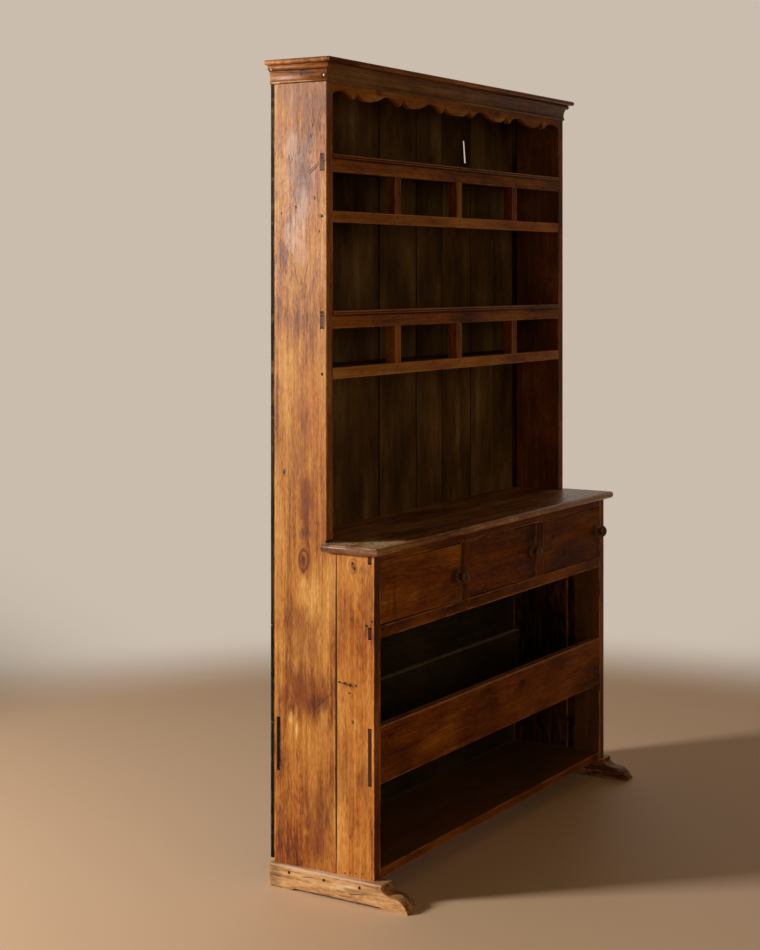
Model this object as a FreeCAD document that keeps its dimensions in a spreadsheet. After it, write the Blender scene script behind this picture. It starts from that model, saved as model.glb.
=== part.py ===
"""A tall open kitchen cupboard: a planked rack with two small galleries over an open base on shoe feet.

The sizes are millimetres. Each piece is drawn from the same three faces of the case: X runs from the
outside of the left side board, Y from the front face of the base to the back, and Z from the floor.
The finished part has its origin at the middle of its floor area, +X to the right and +Y to the back.
"""

import FreeCAD, Part
import math
import operator
import os
import types

import Sketcher

SIZES = {
    # The case
    "case_length": 1357,
    "base_depth": 294,
    "rack_depth": 155,
    "full_height": 2080,
    "side_thickness": 30,
    "seam_from_front": 109,
    "housing_depth": 8,
    "housing_stop": 12,
    # The shoe feet
    "foot_height": 59,
    "foot_thickness": 50,
    "foot_rear_taper": 10,
    "foot_rear_reach": 8,
    "left_toe_reach": 107,
    "right_toe_reach": 88,
    "toe_step_length": 75,
    "toe_step_height": 50,
    "toe_waist_length": 52,
    "toe_waist_height": 35.5,
    "toe_hollow_rise": 3,
    "toe_swell_rise": 11,
    "relief_height": 6,
    "relief_front_length": 80,
    "relief_rear": 226,
    "relief_slope": 8,
    "foot_tenon_thickness": 12,
    "foot_tenon_width": 45,
    "foot_tenon_depth": 30,
    "foot_mortise_spare": 2,
    "front_foot_tenon": 30,
    "middle_foot_tenon": 136,
    "rear_foot_tenon": 242,
    "foot_peg_radius": 4,
    "foot_peg_height": 43,
    # The open base
    "bottom_shelf_thickness": 21,
    "frame_thickness": 23,
    "tenon_setback": 7,
    "tenon_thickness": 10,
    "front_board_bottom": 288,
    "front_board_height": 142,
    "rear_rail_bottom": 290,
    "rear_rail_height": 138,
    "rear_rail_thickness": 18,
    "rear_tenon_thickness": 11,
    "middle_shelf_thickness": 18,
    # The bank of doors and the worktop
    "bank_floor_height": 677,
    "bank_bottom_rail_height": 30,
    "bank_top_rail_height": 23,
    "top_tenon_shoulder": 4,
    "cupboard_floor_thickness": 20,
    "bank_stile_width": 49,
    "first_stile_middle": 468,
    "second_stile_middle": 914,
    "stile_tenon_length": 12,
    "worktop_height": 874,
    "worktop_thickness": 20,
    "worktop_overhang": 22,
    "worktop_nose_radius": 8,
    "horn_lap": 3,
    # The doors with their pins, knobs, latches and stops
    "door_thickness": 21,
    "door_setback": 1.5,
    "door_gap": 1.5,
    "door_sag": 2.5,
    "hinge_inset": 7,
    "hinge_pin_radius": 3.5,
    "hinge_pin_in_door": 24,
    "hinge_pin_in_rail": 18,
    "running_clearance": 0.05,
    "knob_1_inset": 20,
    "knob_2_inset": 28,
    "knob_3_inset": 24,
    "knob_1_height": 68,
    "knob_2_height": 76,
    "knob_3_height": 83,
    "knob_reach": 35,
    "knob_head_radius": 16.5,
    "knob_dome_height": 9,
    "knob_rim_height": 8,
    "knob_under_radius": 12,
    "knob_neck_radius": 7.5,
    "knob_neck_height": 12,
    "knob_flange_radius": 14,
    "knob_flange_height": 3,
    "knob_clearance": 0.3,
    "spindle_radius": 5,
    "latch_gap": 1.5,
    "latch_thickness": 10,
    "latch_width": 18,
    "latch_rounding": 8,
    "latch_lap": 12,
    "stop_length": 40,
    "stop_thickness": 12,
    "stop_height": 22,
    "stop_overlap": 9,
    "stop_from_latch": 12,
    # The galleries of the rack
    "gallery_below_crown": 395,
    "gallery_spacing": 393,
    "gallery_height": 170.5,
    "gallery_frame_thickness": 28,
    "gallery_top_rail_height": 44,
    "gallery_bottom_rail_height": 28,
    "gallery_tenon_thickness": 11,
    "gallery_stile_width": 30,
    "gallery_stile_tenon": 18,
    "gallery_first_stile": 350,
    "gallery_stile_spacing": 338.5,
    "gallery_peg_radius": 3,
    "gallery_peg_length": 24,
    "end_peg_radius": 4,
    "end_peg_length": 75,
    "end_peg_setback": 12,
    "lip_height": 12,
    "lip_reach": 3,
    "lip_top_radius": 5,
    "lip_bottom_radius": 3,
    "lip_quirk": 1.5,
    "lip_groove_depth": 1.5,
    "lip_groove_half_width": 1,
    "lip_lower_bead": 5,
    "rack_shelf_thickness": 22,
    # The crown
    "crown_board_thickness": 13,
    "crown_overhang": 27,
    "crown_rear_reach": 12,
    "crown_nose_radius": 5.5,
    "cornice_height": 47,
    "cornice_reach": 15,
    "cornice_ovolo_reach": 12,
    "cornice_ovolo_rise": 2.7,
    "cornice_ovolo_bottom": 35,
    "cornice_cove_top_reach": 7.5,
    "cornice_cove_rise": 1.8,
    "cornice_bead_reach": 2.5,
    "cornice_bead_height": 9,
    "cornice_bead_rise": 1.7,
    "valance_thickness": 16,
    "valance_height": 82,
    "valance_tenon_thickness": 8,
    "valance_tenon_height": 45,
    "scallop_pitch": 229,
    "scallop_rise": 19,
    "centre_lobe_half_width": 68,
    "lobe_flank_width": 45,
    "lobe_flank_rise": 4.8,
    "lobe_width": 111,
    "lobe_lift": 10.5,
    "lobe_belly_rise": 2.8,
    "arch_rise": 15,
    "notch_half_width": 20,
    "end_arch_height": 7,
    # The back
    "plank_thickness": 12,
    "plank_lap": 2,
    "plank_gap": 1,
    "plank_1_width": 255,
    "plank_2_width": 252,
    "plank_3_width": 206,
    "plank_4_width": 151,
    "plank_5_width": 176,
    "plank_6_width": 140,
    "split_below_crown": 126,
    "split_height": 66,
    "split_from_edge": 35,
    "split_top_width": 9,
    "split_bottom_width": 13,
    "split_lean": 10,
    "split_skin": 3,
    "spall_left": 8,
    "spall_right": 16,
    "spall_end": 10,
    "back_board_thickness": 12,
    "back_board_bottom": 68,
    "back_board_seam": 411,
}

OPERATORS = {"+": operator.add, "-": operator.sub, "*": operator.mul, "/": operator.truediv}


class Size:
    """A length with its formula in the document and its value now."""

    def __init__(self, formula, value):
        self.formula = formula
        self.value = value

    def __add__(self, other):
        return combine(self, "+", other)

    def __radd__(self, other):
        return combine(other, "+", self)

    def __sub__(self, other):
        return combine(self, "-", other)

    def __rsub__(self, other):
        return combine(other, "-", self)

    def __mul__(self, other):
        return combine(self, "*", other)

    def __rmul__(self, other):
        return combine(other, "*", self)

    def __truediv__(self, other):
        return combine(self, "/", other)

    def __neg__(self):
        return combine(self, "*", -1)


def as_size(length):
    return length if isinstance(length, Size) else Size(repr(length), length)


def combine(left, sign, right):
    left, right = as_size(left), as_size(right)
    formula = f"({left.formula} {sign} {right.formula})"
    return Size(formula, OPERATORS[sign](left.value, right.value))


def bind(thing, name, length):
    """Tie a property of a document object to a length of the sheet."""
    thing.setExpression(name, as_size(length).formula)


# The document and its sheet of sizes

doc = FreeCAD.newDocument("kitchen_cupboard")
sheet = doc.addObject("Spreadsheet::Sheet", "Sizes")
for row, (alias, value) in enumerate(SIZES.items(), start=1):
    sheet.set(f"A{row}", alias)
    sheet.set(f"B{row}", str(value))
    sheet.setAlias(f"B{row}", alias)
doc.recompute()

s = types.SimpleNamespace(**{alias: Size("Sizes." + alias, value) for alias, value in SIZES.items()})

# Places that several pieces share

inner_length = s.case_length - s.side_thickness * 2
right_inner_face = s.case_length - s.side_thickness
rack_front = s.base_depth - s.rack_depth
rear_rail_front = s.base_depth - s.rear_rail_thickness
worktop_underside = s.worktop_height - s.worktop_thickness
opening_top = worktop_underside - s.bank_top_rail_height
opening_height = opening_top - s.bank_floor_height
cupboard_floor_underside = s.bank_floor_height - s.cupboard_floor_thickness
bank_bottom_rail_bottom = s.bank_floor_height - s.bank_bottom_rail_height
crown_underside = s.full_height - s.crown_board_thickness
valance_bottom = crown_underside - s.valance_height
valance_tenon_bottom = crown_underside - s.top_tenon_shoulder - s.valance_tenon_height
gallery_back = rack_front + s.gallery_frame_thickness
upper_gallery_bottom = crown_underside - s.gallery_below_crown
lower_gallery_bottom = upper_gallery_bottom - s.gallery_spacing
plank_bottom = cupboard_floor_underside - s.plank_lap
crown_rear = s.base_depth + s.crown_rear_reach
middle_x = s.case_length / 2
middle_y = (crown_rear - s.left_toe_reach) / 2

# A count and a closeness, which have no size

STILES_IN_A_GALLERY = 3
NEAR = 0.001

PLANES = {"X": ("YZ_Plane", 1), "Y": ("XZ_Plane", -1), "Z": ("XY_Plane", 1)}
HANDS = ("left", "right")
FOOT_TENONS = (s.front_foot_tenon, s.middle_foot_tenon, s.rear_foot_tenon)

pieces = []


def place(thing, x, y, z):
    """Put an object at a corner measured from the case's own faces."""
    bind(thing, "Placement.Base.x", x - middle_x)
    bind(thing, "Placement.Base.y", y - middle_y)
    bind(thing, "Placement.Base.z", z)


def new_body(label, x, y, z):
    body = doc.addObject("PartDesign::Body", label)
    body.Label = label
    place(body, x, y, z)
    pieces.append(body)
    return body


def group(label, members):
    """Several loose solids of one kind under one name."""
    compound = doc.addObject("Part::Compound", label)
    compound.Label = label
    compound.Links = members
    pieces.append(compound)


# Sketches

def sketch_on(body, name, across, at):
    """An empty sketch on the plane square to one axis of the body, at a distance along it."""
    role, sense = PLANES[across]
    sketch = body.newObject("Sketcher::SketchObject", name)
    plane = next(feature for feature in body.Origin.OriginFeatures if feature.Role == role)
    sketch.AttachmentSupport = (plane, [""])
    sketch.MapMode = "FlatFace"
    bind(sketch, "AttachmentOffset.Base.z", at * sense)
    return sketch


def pin_point(sketch, name, edge, end, u, v):
    """Hold one end of an edge at its distances from the sketch's origin."""
    for kind, axis, length in (("DistanceX", -2, u), ("DistanceY", -1, v)):
        if isinstance(length, Size):
            constraint = Sketcher.Constraint(kind, -1, 1, edge, end, length.value)
            index = sketch.addConstraint(constraint)
            sketch.renameConstraint(index, f"{name}_{kind[-1].lower()}")
            bind(sketch, f"Constraints.{name}_{kind[-1].lower()}", length)
        else:
            sketch.addConstraint(Sketcher.Constraint("PointOnObject", edge, end, axis))


def arc_between(start, finish, radius):
    """The short arc between two points: a positive radius turns left on the way, a negative one right."""
    chord = finish - start
    rise = math.sqrt(radius * radius - chord.Length * chord.Length / 4)
    side = FreeCAD.Vector(-chord.y, chord.x, 0).normalize() * math.copysign(rise, radius)
    centre = (start + finish) / 2 + side
    first, last = (start, finish) if radius > 0 else (finish, start)
    angles = [math.atan2(point.y - centre.y, point.x - centre.x) for point in (first, last)]
    if angles[1] < angles[0]:
        angles[1] += 2 * math.pi
    return Part.ArcOfCircle(Part.Circle(centre, FreeCAD.Vector(0, 0, 1), abs(radius)), *angles)


def bow(rise):
    """How an arc is given by its rise from the chord between its ends, for any length of chord."""
    def radius(start, finish):
        across, up = finish[0] - start[0], finish[1] - start[1]
        return (across * across + up * up) / (rise * 8) + rise / 2

    return radius


def arc_radius(path, index):
    """The signed radius of the arc that arrives at a corner."""
    given = path[index][2]
    return given(path[index - 1], path[index]) if callable(given) else given


def draw_outline(sketch, path):
    """A closed outline. A corner is (u, v), or (u, v, radius or bow) where an arc arrives at it."""
    corners = [FreeCAD.Vector(as_size(c[0]).value, as_size(c[1]).value, 0) for c in path]
    ends = []
    for index, corner in enumerate(path):
        start, finish = corners[index - 1], corners[index]
        if len(corner) == 2:
            edge = sketch.addGeometry(Part.LineSegment(start, finish))
            ends.append((edge, 1, 2))
        else:
            radius = arc_radius(path, index).value
            edge = sketch.addGeometry(arc_between(start, finish, radius))
            ends.append((edge, 1, 2) if radius > 0 else (edge, 2, 1))
    for index, corner in enumerate(path):
        edge, _, finish_end = ends[index]
        following, start_end, _ = ends[(index + 1) % len(path)]
        sketch.addConstraint(Sketcher.Constraint("Coincident", edge, finish_end, following, start_end))
        pin_point(sketch, f"corner_{index}", edge, finish_end, corner[0], corner[1])
        if len(corner) == 3:
            radius = arc_radius(path, index)
            radius = radius if radius.value > 0 else -radius
            number = sketch.addConstraint(Sketcher.Constraint("Radius", edge, radius.value))
            sketch.renameConstraint(number, f"radius_{index}")
            bind(sketch, f"Constraints.radius_{index}", radius)


def draw_circle(sketch, u, v, radius):
    centre = FreeCAD.Vector(as_size(u).value, as_size(v).value, 0)
    circle = sketch.addGeometry(Part.Circle(centre, FreeCAD.Vector(0, 0, 1), as_size(radius).value))
    pin_point(sketch, "centre", circle, 3, u, v)
    number = sketch.addConstraint(Sketcher.Constraint("Radius", circle, as_size(radius).value))
    sketch.renameConstraint(number, "radius")
    bind(sketch, "Constraints.radius", radius)


def rectangle(u, v, width, height):
    return [(u, v), (u + width, v), (u + width, v + height), (u, v + height)]


# Features: a pad fills from start onwards along its axis, and a cut clears the same stretch

def pad(body, name, across, start, thickness, path):
    sketch = sketch_on(body, name + "_sketch", across, start + thickness if across == "Y" else start)
    draw_outline(sketch, path)
    feature = body.newObject("PartDesign::Pad", name)
    feature.Profile = sketch
    bind(feature, "Length", thickness)


def pocket(body, name, across, start, depth, draw, *shape):
    sketch = sketch_on(body, name + "_sketch", across, start if across == "Y" else start + depth)
    draw(sketch, *shape)
    feature = body.newObject("PartDesign::Pocket", name)
    feature.Profile = sketch
    bind(feature, "Length", depth)


def cut(body, name, across, start, depth, path):
    pocket(body, name, across, start, depth, draw_outline, path)


def bore(body, name, across, start, depth, u, v, radius):
    pocket(body, name, across, start, depth, draw_circle, u, v, radius)


def round_edges(body, name, radius, wanted):
    """Round the edges of a body's last feature that answer a test."""
    doc.recompute()
    base = body.Tip
    fillet = body.newObject("PartDesign::Fillet", name)
    fillet.Base = (base, [f"Edge{n}" for n, edge in enumerate(base.Shape.Edges, 1) if wanted(edge)])
    bind(fillet, "Radius", radius)


def runs_along(edge, axis):
    ends = [vertex.Point for vertex in edge.Vertexes]
    return len(ends) == 2 and (ends[1] - ends[0]).cross(axis).Length < NEAR


def is_level(edge):
    return abs(edge.Vertexes[0].Point.z - edge.Vertexes[-1].Point.z) < NEAR


def cylinder(name, across, x, y, z, radius, length):
    """A round pin whose near end is centred on a point of the case."""
    turns = {"X": FreeCAD.Rotation(FreeCAD.Vector(0, 1, 0), 90),
             "Y": FreeCAD.Rotation(FreeCAD.Vector(1, 0, 0), -90),
             "Z": FreeCAD.Rotation()}
    pin = doc.addObject("Part::Cylinder", name)
    pin.Placement = FreeCAD.Placement(FreeCAD.Vector(), turns[across])
    bind(pin, "Radius", radius)
    bind(pin, "Height", length)
    place(pin, x, y, z)
    return pin


# Joinery that several pieces use

def rail(label, y, z, height, thickness, setback, tenon_thickness, tenon_length, shoulder):
    """A rail between the side boards with one tenon at each end."""
    body = new_body(label, s.side_thickness - tenon_length, y, z)
    pad(body, "rail", "Y", 0, thickness, rectangle(tenon_length, 0, inner_length, height))
    pad(body, "tenons", "Y", setback, tenon_thickness,
        rectangle(0, 0, inner_length + tenon_length * 2, height - shoulder))
    return body


def housed_board(label, y, z, depth, thickness):
    """A shelf or floor whose ends lie in housings of both sides."""
    body = new_body(label, s.side_thickness - s.housing_depth, y, z)
    pad(body, "board", "Z", 0, thickness,
        rectangle(0, 0, inner_length + s.housing_depth * 2, depth))
    return body


def housing(body, name, hand, y, z, depth, height):
    """A trench in the inner face of a side board."""
    start = s.side_thickness - s.housing_depth if hand == "left" else 0
    cut(body, name, "X", start, s.housing_depth, rectangle(y, z, depth, height))


def through_mortise(body, name, y, z, depth, height):
    cut(body, name, "X", 0, s.side_thickness, rectangle(y, z, depth, height))


# The side boards: one tall board behind, and one short board in front of it under the worktop

def foot_tenon(body, name, middle):
    cheek = (s.side_thickness - s.foot_tenon_thickness) / 2
    low = s.foot_height - s.foot_tenon_depth
    pad(body, name, "X", cheek, s.foot_tenon_thickness,
        rectangle(middle - s.foot_tenon_width / 2, low, s.foot_tenon_width, s.foot_tenon_depth * 2))
    bore(body, name + "_peg_hole", "X", cheek, s.foot_tenon_thickness, middle, s.foot_peg_height,
         s.foot_peg_radius)


def gallery_joints(body, hand, name, bottom):
    """The mortises and housings in one side board for one gallery."""
    top_rail = bottom + s.gallery_height - s.gallery_top_rail_height
    tenon_front = rack_front + s.tenon_setback
    shelf_depth = s.base_depth - gallery_back
    through_mortise(body, name + "_top_mortise", tenon_front, top_rail, s.gallery_tenon_thickness,
                    s.gallery_top_rail_height)
    housing(body, name + "_bottom_mortise", hand, tenon_front, bottom, s.gallery_tenon_thickness,
            s.gallery_bottom_rail_height)
    shelf = bottom + s.gallery_height - s.lip_height - s.rack_shelf_thickness
    housing(body, name + "_shelf_housing", hand, gallery_back, shelf, shelf_depth, s.rack_shelf_thickness)
    floor = bottom + s.gallery_bottom_rail_height - s.rack_shelf_thickness
    housing(body, name + "_floor_housing", hand, gallery_back, floor, shelf_depth, s.rack_shelf_thickness)
    bore(body, name + "_end_peg_hole", "X", 0, s.side_thickness, rack_front + s.end_peg_setback,
         bottom + s.gallery_bottom_rail_height / 2, s.end_peg_radius)


def tall_side_board(hand):
    body = new_body(f"{hand}_side_board", 0 if hand == "left" else right_inner_face, 0, 0)
    pad(body, "board", "X", 0, s.side_thickness, [
        (s.seam_from_front, s.foot_height),
        (s.base_depth, s.foot_height),
        (s.base_depth, crown_underside),
        (rack_front, crown_underside),
        (rack_front, worktop_underside),
        (s.seam_from_front, worktop_underside),
    ])
    foot_tenon(body, "middle_foot_tenon", s.middle_foot_tenon)
    foot_tenon(body, "rear_foot_tenon", s.rear_foot_tenon)
    base_width = s.base_depth - s.seam_from_front
    housing(body, "bottom_shelf_housing", hand, s.seam_from_front, s.foot_height, base_width,
            s.bottom_shelf_thickness)
    housing(body, "middle_shelf_housing", hand, s.seam_from_front, s.front_board_bottom,
            rear_rail_front - s.seam_from_front, s.middle_shelf_thickness)
    through_mortise(body, "rear_rail_mortise", rear_rail_front, s.rear_rail_bottom,
                    s.rear_tenon_thickness, s.rear_rail_height)
    housing(body, "cupboard_floor_housing", hand, s.seam_from_front, cupboard_floor_underside,
            base_width, s.cupboard_floor_thickness)
    housing(body, "worktop_housing", hand, rack_front, worktop_underside, s.rack_depth,
            s.worktop_thickness)
    gallery_joints(body, hand, "lower_gallery", lower_gallery_bottom)
    gallery_joints(body, hand, "upper_gallery", upper_gallery_bottom)
    housing(body, "valance_mortise", hand,
            rack_front + (s.valance_thickness - s.valance_tenon_thickness) / 2,
            valance_tenon_bottom, s.valance_tenon_thickness, s.valance_tenon_height)


def front_side_board(hand):
    body = new_body(f"{hand}_front_side_board", 0 if hand == "left" else right_inner_face, 0, 0)
    pad(body, "board", "X", 0, s.side_thickness,
        rectangle(0, s.foot_height, s.seam_from_front, worktop_underside - s.foot_height))
    foot_tenon(body, "front_foot_tenon", s.front_foot_tenon)
    behind_frame = s.seam_from_front - s.frame_thickness
    housing(body, "bottom_shelf_housing", hand, s.housing_stop, s.foot_height,
            s.seam_from_front - s.housing_stop, s.bottom_shelf_thickness)
    housing(body, "middle_shelf_housing", hand, s.frame_thickness, s.front_board_bottom, behind_frame,
            s.middle_shelf_thickness)
    housing(body, "cupboard_floor_housing", hand, s.frame_thickness, cupboard_floor_underside,
            behind_frame, s.cupboard_floor_thickness)
    through_mortise(body, "front_board_mortise", s.tenon_setback, s.front_board_bottom,
                    s.tenon_thickness, s.front_board_height)
    through_mortise(body, "bank_bottom_rail_mortise", s.tenon_setback, bank_bottom_rail_bottom,
                    s.tenon_thickness, s.bank_bottom_rail_height)
    through_mortise(body, "bank_top_rail_mortise", s.tenon_setback, opening_top, s.tenon_thickness,
                    s.bank_top_rail_height - s.top_tenon_shoulder)


# The shoe feet and the pegs that hold the side boards in them

foot_proud = s.foot_thickness - s.side_thickness
foot_rear = s.base_depth + s.foot_rear_reach


def shoe_foot(hand):
    """A shoe with a rounded toe, full thickness in front and planed thinner on its outer face behind."""
    is_left = hand == "left"
    toe_reach = s.left_toe_reach if is_left else s.right_toe_reach
    body = new_body(f"{hand}_shoe_foot", -foot_proud if is_left else right_inner_face, -toe_reach, 0)
    length = toe_reach + foot_rear
    relief_rear = toe_reach + s.relief_rear
    pad(body, "shoe", "X", 0, s.foot_thickness, [
        (s.relief_front_length - s.relief_slope, 0),
        (s.relief_front_length, s.relief_height),
        (relief_rear, s.relief_height),
        (relief_rear + s.relief_slope, 0),
        (length, 0),
        (length, s.foot_height),
        (s.toe_step_length, s.foot_height),
        (s.toe_step_length, s.toe_step_height),
        (s.toe_waist_length, s.toe_waist_height, bow(-s.toe_hollow_rise)),
        (0, 0, bow(s.toe_swell_rise)),
    ])
    outer, planed = (0, s.foot_rear_taper) if is_left else (s.foot_thickness,
                                                           s.foot_thickness - s.foot_rear_taper)
    cut(body, "taper", "Z", 0, s.foot_height, [(outer, toe_reach), (planed, length), (outer, length)])
    outer_cheek = (s.side_thickness - s.foot_tenon_thickness) / 2
    mortise_x = outer_cheek + foot_proud if is_left else outer_cheek
    depth = s.foot_tenon_depth + s.foot_mortise_spare
    for number, middle in enumerate(FOOT_TENONS, start=1):
        y = toe_reach + middle
        cut(body, f"mortise_{number}", "Z", s.foot_height - depth, depth,
            rectangle(mortise_x, y - s.foot_tenon_width / 2, s.foot_tenon_thickness, s.foot_tenon_width))
        bore(body, f"peg_hole_{number}", "X", 0, s.foot_thickness, y, s.foot_peg_height,
             s.foot_peg_radius)


def shoe_pegs():
    """Pegs through both shoes, as long as the tapered shoe is thick at each."""
    pegs = []
    for hand in HANDS:
        for number, middle in enumerate(FOOT_TENONS, start=1):
            planed = s.foot_rear_taper * middle / foot_rear
            x = planed - foot_proud if hand == "left" else right_inner_face
            pegs.append(cylinder(f"{hand}_shoe_peg_{number}", "X", x, middle, s.foot_peg_height,
                                 s.foot_peg_radius, s.foot_thickness - planed))
    group("shoe_pegs", pegs)


# The open base: a bottom shelf, and a middle shelf held between a deep front board and a rear rail

def bottom_shelf():
    body = new_body("bottom_shelf", s.side_thickness - s.housing_depth, 0, s.foot_height)
    pad(body, "board", "Z", 0, s.bottom_shelf_thickness,
        rectangle(s.housing_depth, 0, inner_length, s.base_depth))
    pad(body, "housed_ends", "Z", 0, s.bottom_shelf_thickness,
        rectangle(0, s.housing_stop, inner_length + s.housing_depth * 2, s.base_depth - s.housing_stop))


def open_base():
    bottom_shelf()
    rail("front_board", 0, s.front_board_bottom, s.front_board_height, s.frame_thickness,
         s.tenon_setback, s.tenon_thickness, s.side_thickness, 0)
    rail("rear_rail", rear_rail_front, s.rear_rail_bottom, s.rear_rail_height, s.rear_rail_thickness,
         0, s.rear_tenon_thickness, s.side_thickness, 0)
    housed_board("middle_shelf", s.frame_thickness, s.front_board_bottom,
                 rear_rail_front - s.frame_thickness, s.middle_shelf_thickness)


# The bank of three doors: its frame, the cupboard floor behind it and the worktop above

STILE_MIDDLES = (s.first_stile_middle, s.second_stile_middle)
HALF_STILE = s.bank_stile_width / 2
OPENINGS = (
    (s.side_thickness, s.first_stile_middle - HALF_STILE),
    (s.first_stile_middle + HALF_STILE, s.second_stile_middle - HALF_STILE),
    (s.second_stile_middle + HALF_STILE, right_inner_face),
)
HINGE_Y = s.door_setback + s.hinge_inset
KNOB_INSETS = (s.knob_1_inset, s.knob_2_inset, s.knob_3_inset)
KNOB_HEIGHTS = (s.knob_1_height, s.knob_2_height, s.knob_3_height)
LATCH_FRONT = s.frame_thickness + s.latch_gap


def hinge_x(opening):
    return opening[0] + s.door_gap + s.hinge_inset


def knob_x(number):
    return OPENINGS[number - 1][1] - s.door_gap - KNOB_INSETS[number - 1]


def knob_z(number):
    return s.bank_floor_height + KNOB_HEIGHTS[number - 1]


def latch_reach(number):
    """How far a latch's arm reaches from its spindle, so that turned up it laps the top rail."""
    return opening_height - KNOB_HEIGHTS[number - 1] + s.latch_lap


def bank_rails():
    bottom = rail("bank_bottom_rail", 0, bank_bottom_rail_bottom, s.bank_bottom_rail_height,
                  s.frame_thickness, s.tenon_setback, s.tenon_thickness, s.side_thickness, 0)
    top = rail("bank_top_rail", 0, opening_top, s.bank_top_rail_height, s.frame_thickness,
               s.tenon_setback, s.tenon_thickness, s.side_thickness, s.top_tenon_shoulder)
    hole = s.hinge_pin_radius + s.running_clearance
    for number, middle in enumerate(STILE_MIDDLES, start=1):
        slot = rectangle(middle - HALF_STILE, s.tenon_setback, s.bank_stile_width,
                         s.tenon_thickness)
        cut(bottom, f"stile_mortise_{number}", "Z", s.bank_bottom_rail_height - s.stile_tenon_length,
            s.stile_tenon_length, slot)
        cut(top, f"stile_mortise_{number}", "Z", 0, s.stile_tenon_length, slot)
    for number, opening in enumerate(OPENINGS, start=1):
        bore(bottom, f"pin_hole_{number}", "Z", s.bank_bottom_rail_height - s.hinge_pin_in_rail,
             s.hinge_pin_in_rail, hinge_x(opening), HINGE_Y, hole)
        bore(top, f"pin_hole_{number}", "Z", 0, s.bank_top_rail_height, hinge_x(opening), HINGE_Y, hole)


def bank_stile(number, middle):
    body = new_body(f"bank_stile_{number}", middle - HALF_STILE, 0,
                    s.bank_floor_height - s.stile_tenon_length)
    pad(body, "stile", "Y", 0, s.frame_thickness,
        rectangle(0, s.stile_tenon_length, s.bank_stile_width, opening_height))
    pad(body, "tenons", "Y", s.tenon_setback, s.tenon_thickness,
        rectangle(0, 0, s.bank_stile_width, opening_height + s.stile_tenon_length * 2))


def worktop():
    body = new_body("worktop", -s.worktop_overhang, -s.worktop_overhang, worktop_underside)
    length = s.case_length + s.worktop_overhang * 2
    back = s.worktop_overhang + s.base_depth
    shoulder = s.worktop_overhang + rack_front
    horn = shoulder + s.horn_lap
    left_end = s.worktop_overhang + s.side_thickness - s.housing_depth
    pad(body, "board", "Z", 0, s.worktop_thickness, [
        (0, 0),
        (length, 0),
        (length, horn),
        (length - s.worktop_overhang, horn),
        (length - s.worktop_overhang, shoulder),
        (length - left_end, shoulder),
        (length - left_end, back),
        (left_end, back),
        (left_end, shoulder),
        (s.worktop_overhang, shoulder),
        (s.worktop_overhang, horn),
        (0, horn),
    ])
    far = length.value
    reach = horn.value

    def on_nose(edge):
        middle = edge.CenterOfMass
        front = abs(middle.y) < NEAR
        ends = min(abs(middle.x), abs(middle.x - far)) < NEAR and middle.y < reach
        return is_level(edge) and (front or ends)

    round_edges(body, "nose", s.worktop_nose_radius, on_nose)


# The doors, each with two pins, a turned knob and a latch on the knob's spindle

def door(number, opening):
    left, right = opening
    width = right - left - s.door_gap * 2
    label = f"door_{number}"
    body = new_body(label, left + s.door_gap, s.door_setback, s.bank_floor_height)
    pad(body, "board", "Y", 0, s.door_thickness, [
        (0, s.door_gap + s.door_sag),
        (width, s.door_gap),
        (width, opening_height - s.door_gap - s.door_sag),
        (0, opening_height - s.door_gap),
    ])
    bore(body, "spindle_hole", "Y", 0, s.door_thickness, width - KNOB_INSETS[number - 1],
         KNOB_HEIGHTS[number - 1], s.spindle_radius + s.running_clearance)
    bore(body, "lower_pin_hole", "Z", 0, s.hinge_pin_in_door, s.hinge_inset, s.hinge_inset,
         s.hinge_pin_radius)
    bore(body, "upper_pin_hole", "Z", opening_height - s.hinge_pin_in_door, s.hinge_pin_in_door,
         s.hinge_inset, s.hinge_inset, s.hinge_pin_radius)
    upright = FreeCAD.Vector(0, 0, 1)

    def hinge_arris(edge):
        middle = edge.CenterOfMass
        return runs_along(edge, upright) and abs(middle.x) < NEAR and abs(middle.y) < NEAR

    round_edges(body, "hinge_edge", s.hinge_inset, hinge_arris)


def door_pins(number, opening):
    x = hinge_x(opening)
    lower = cylinder(f"door_{number}_lower_pin", "Z", x, HINGE_Y,
                     s.bank_floor_height - s.hinge_pin_in_rail, s.hinge_pin_radius,
                     s.hinge_pin_in_rail + s.hinge_pin_in_door)
    upper = cylinder(f"door_{number}_upper_pin", "Z", x, HINGE_Y, opening_top - s.hinge_pin_in_door,
                     s.hinge_pin_radius, s.hinge_pin_in_door + s.bank_top_rail_height)
    group(f"door_{number}_pins", [lower, upper])


def level_start(rise, run):
    """The radius of an arc that starts along its run and ends at its rise."""
    return (rise * rise + run * run) / (rise * 2)


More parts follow.
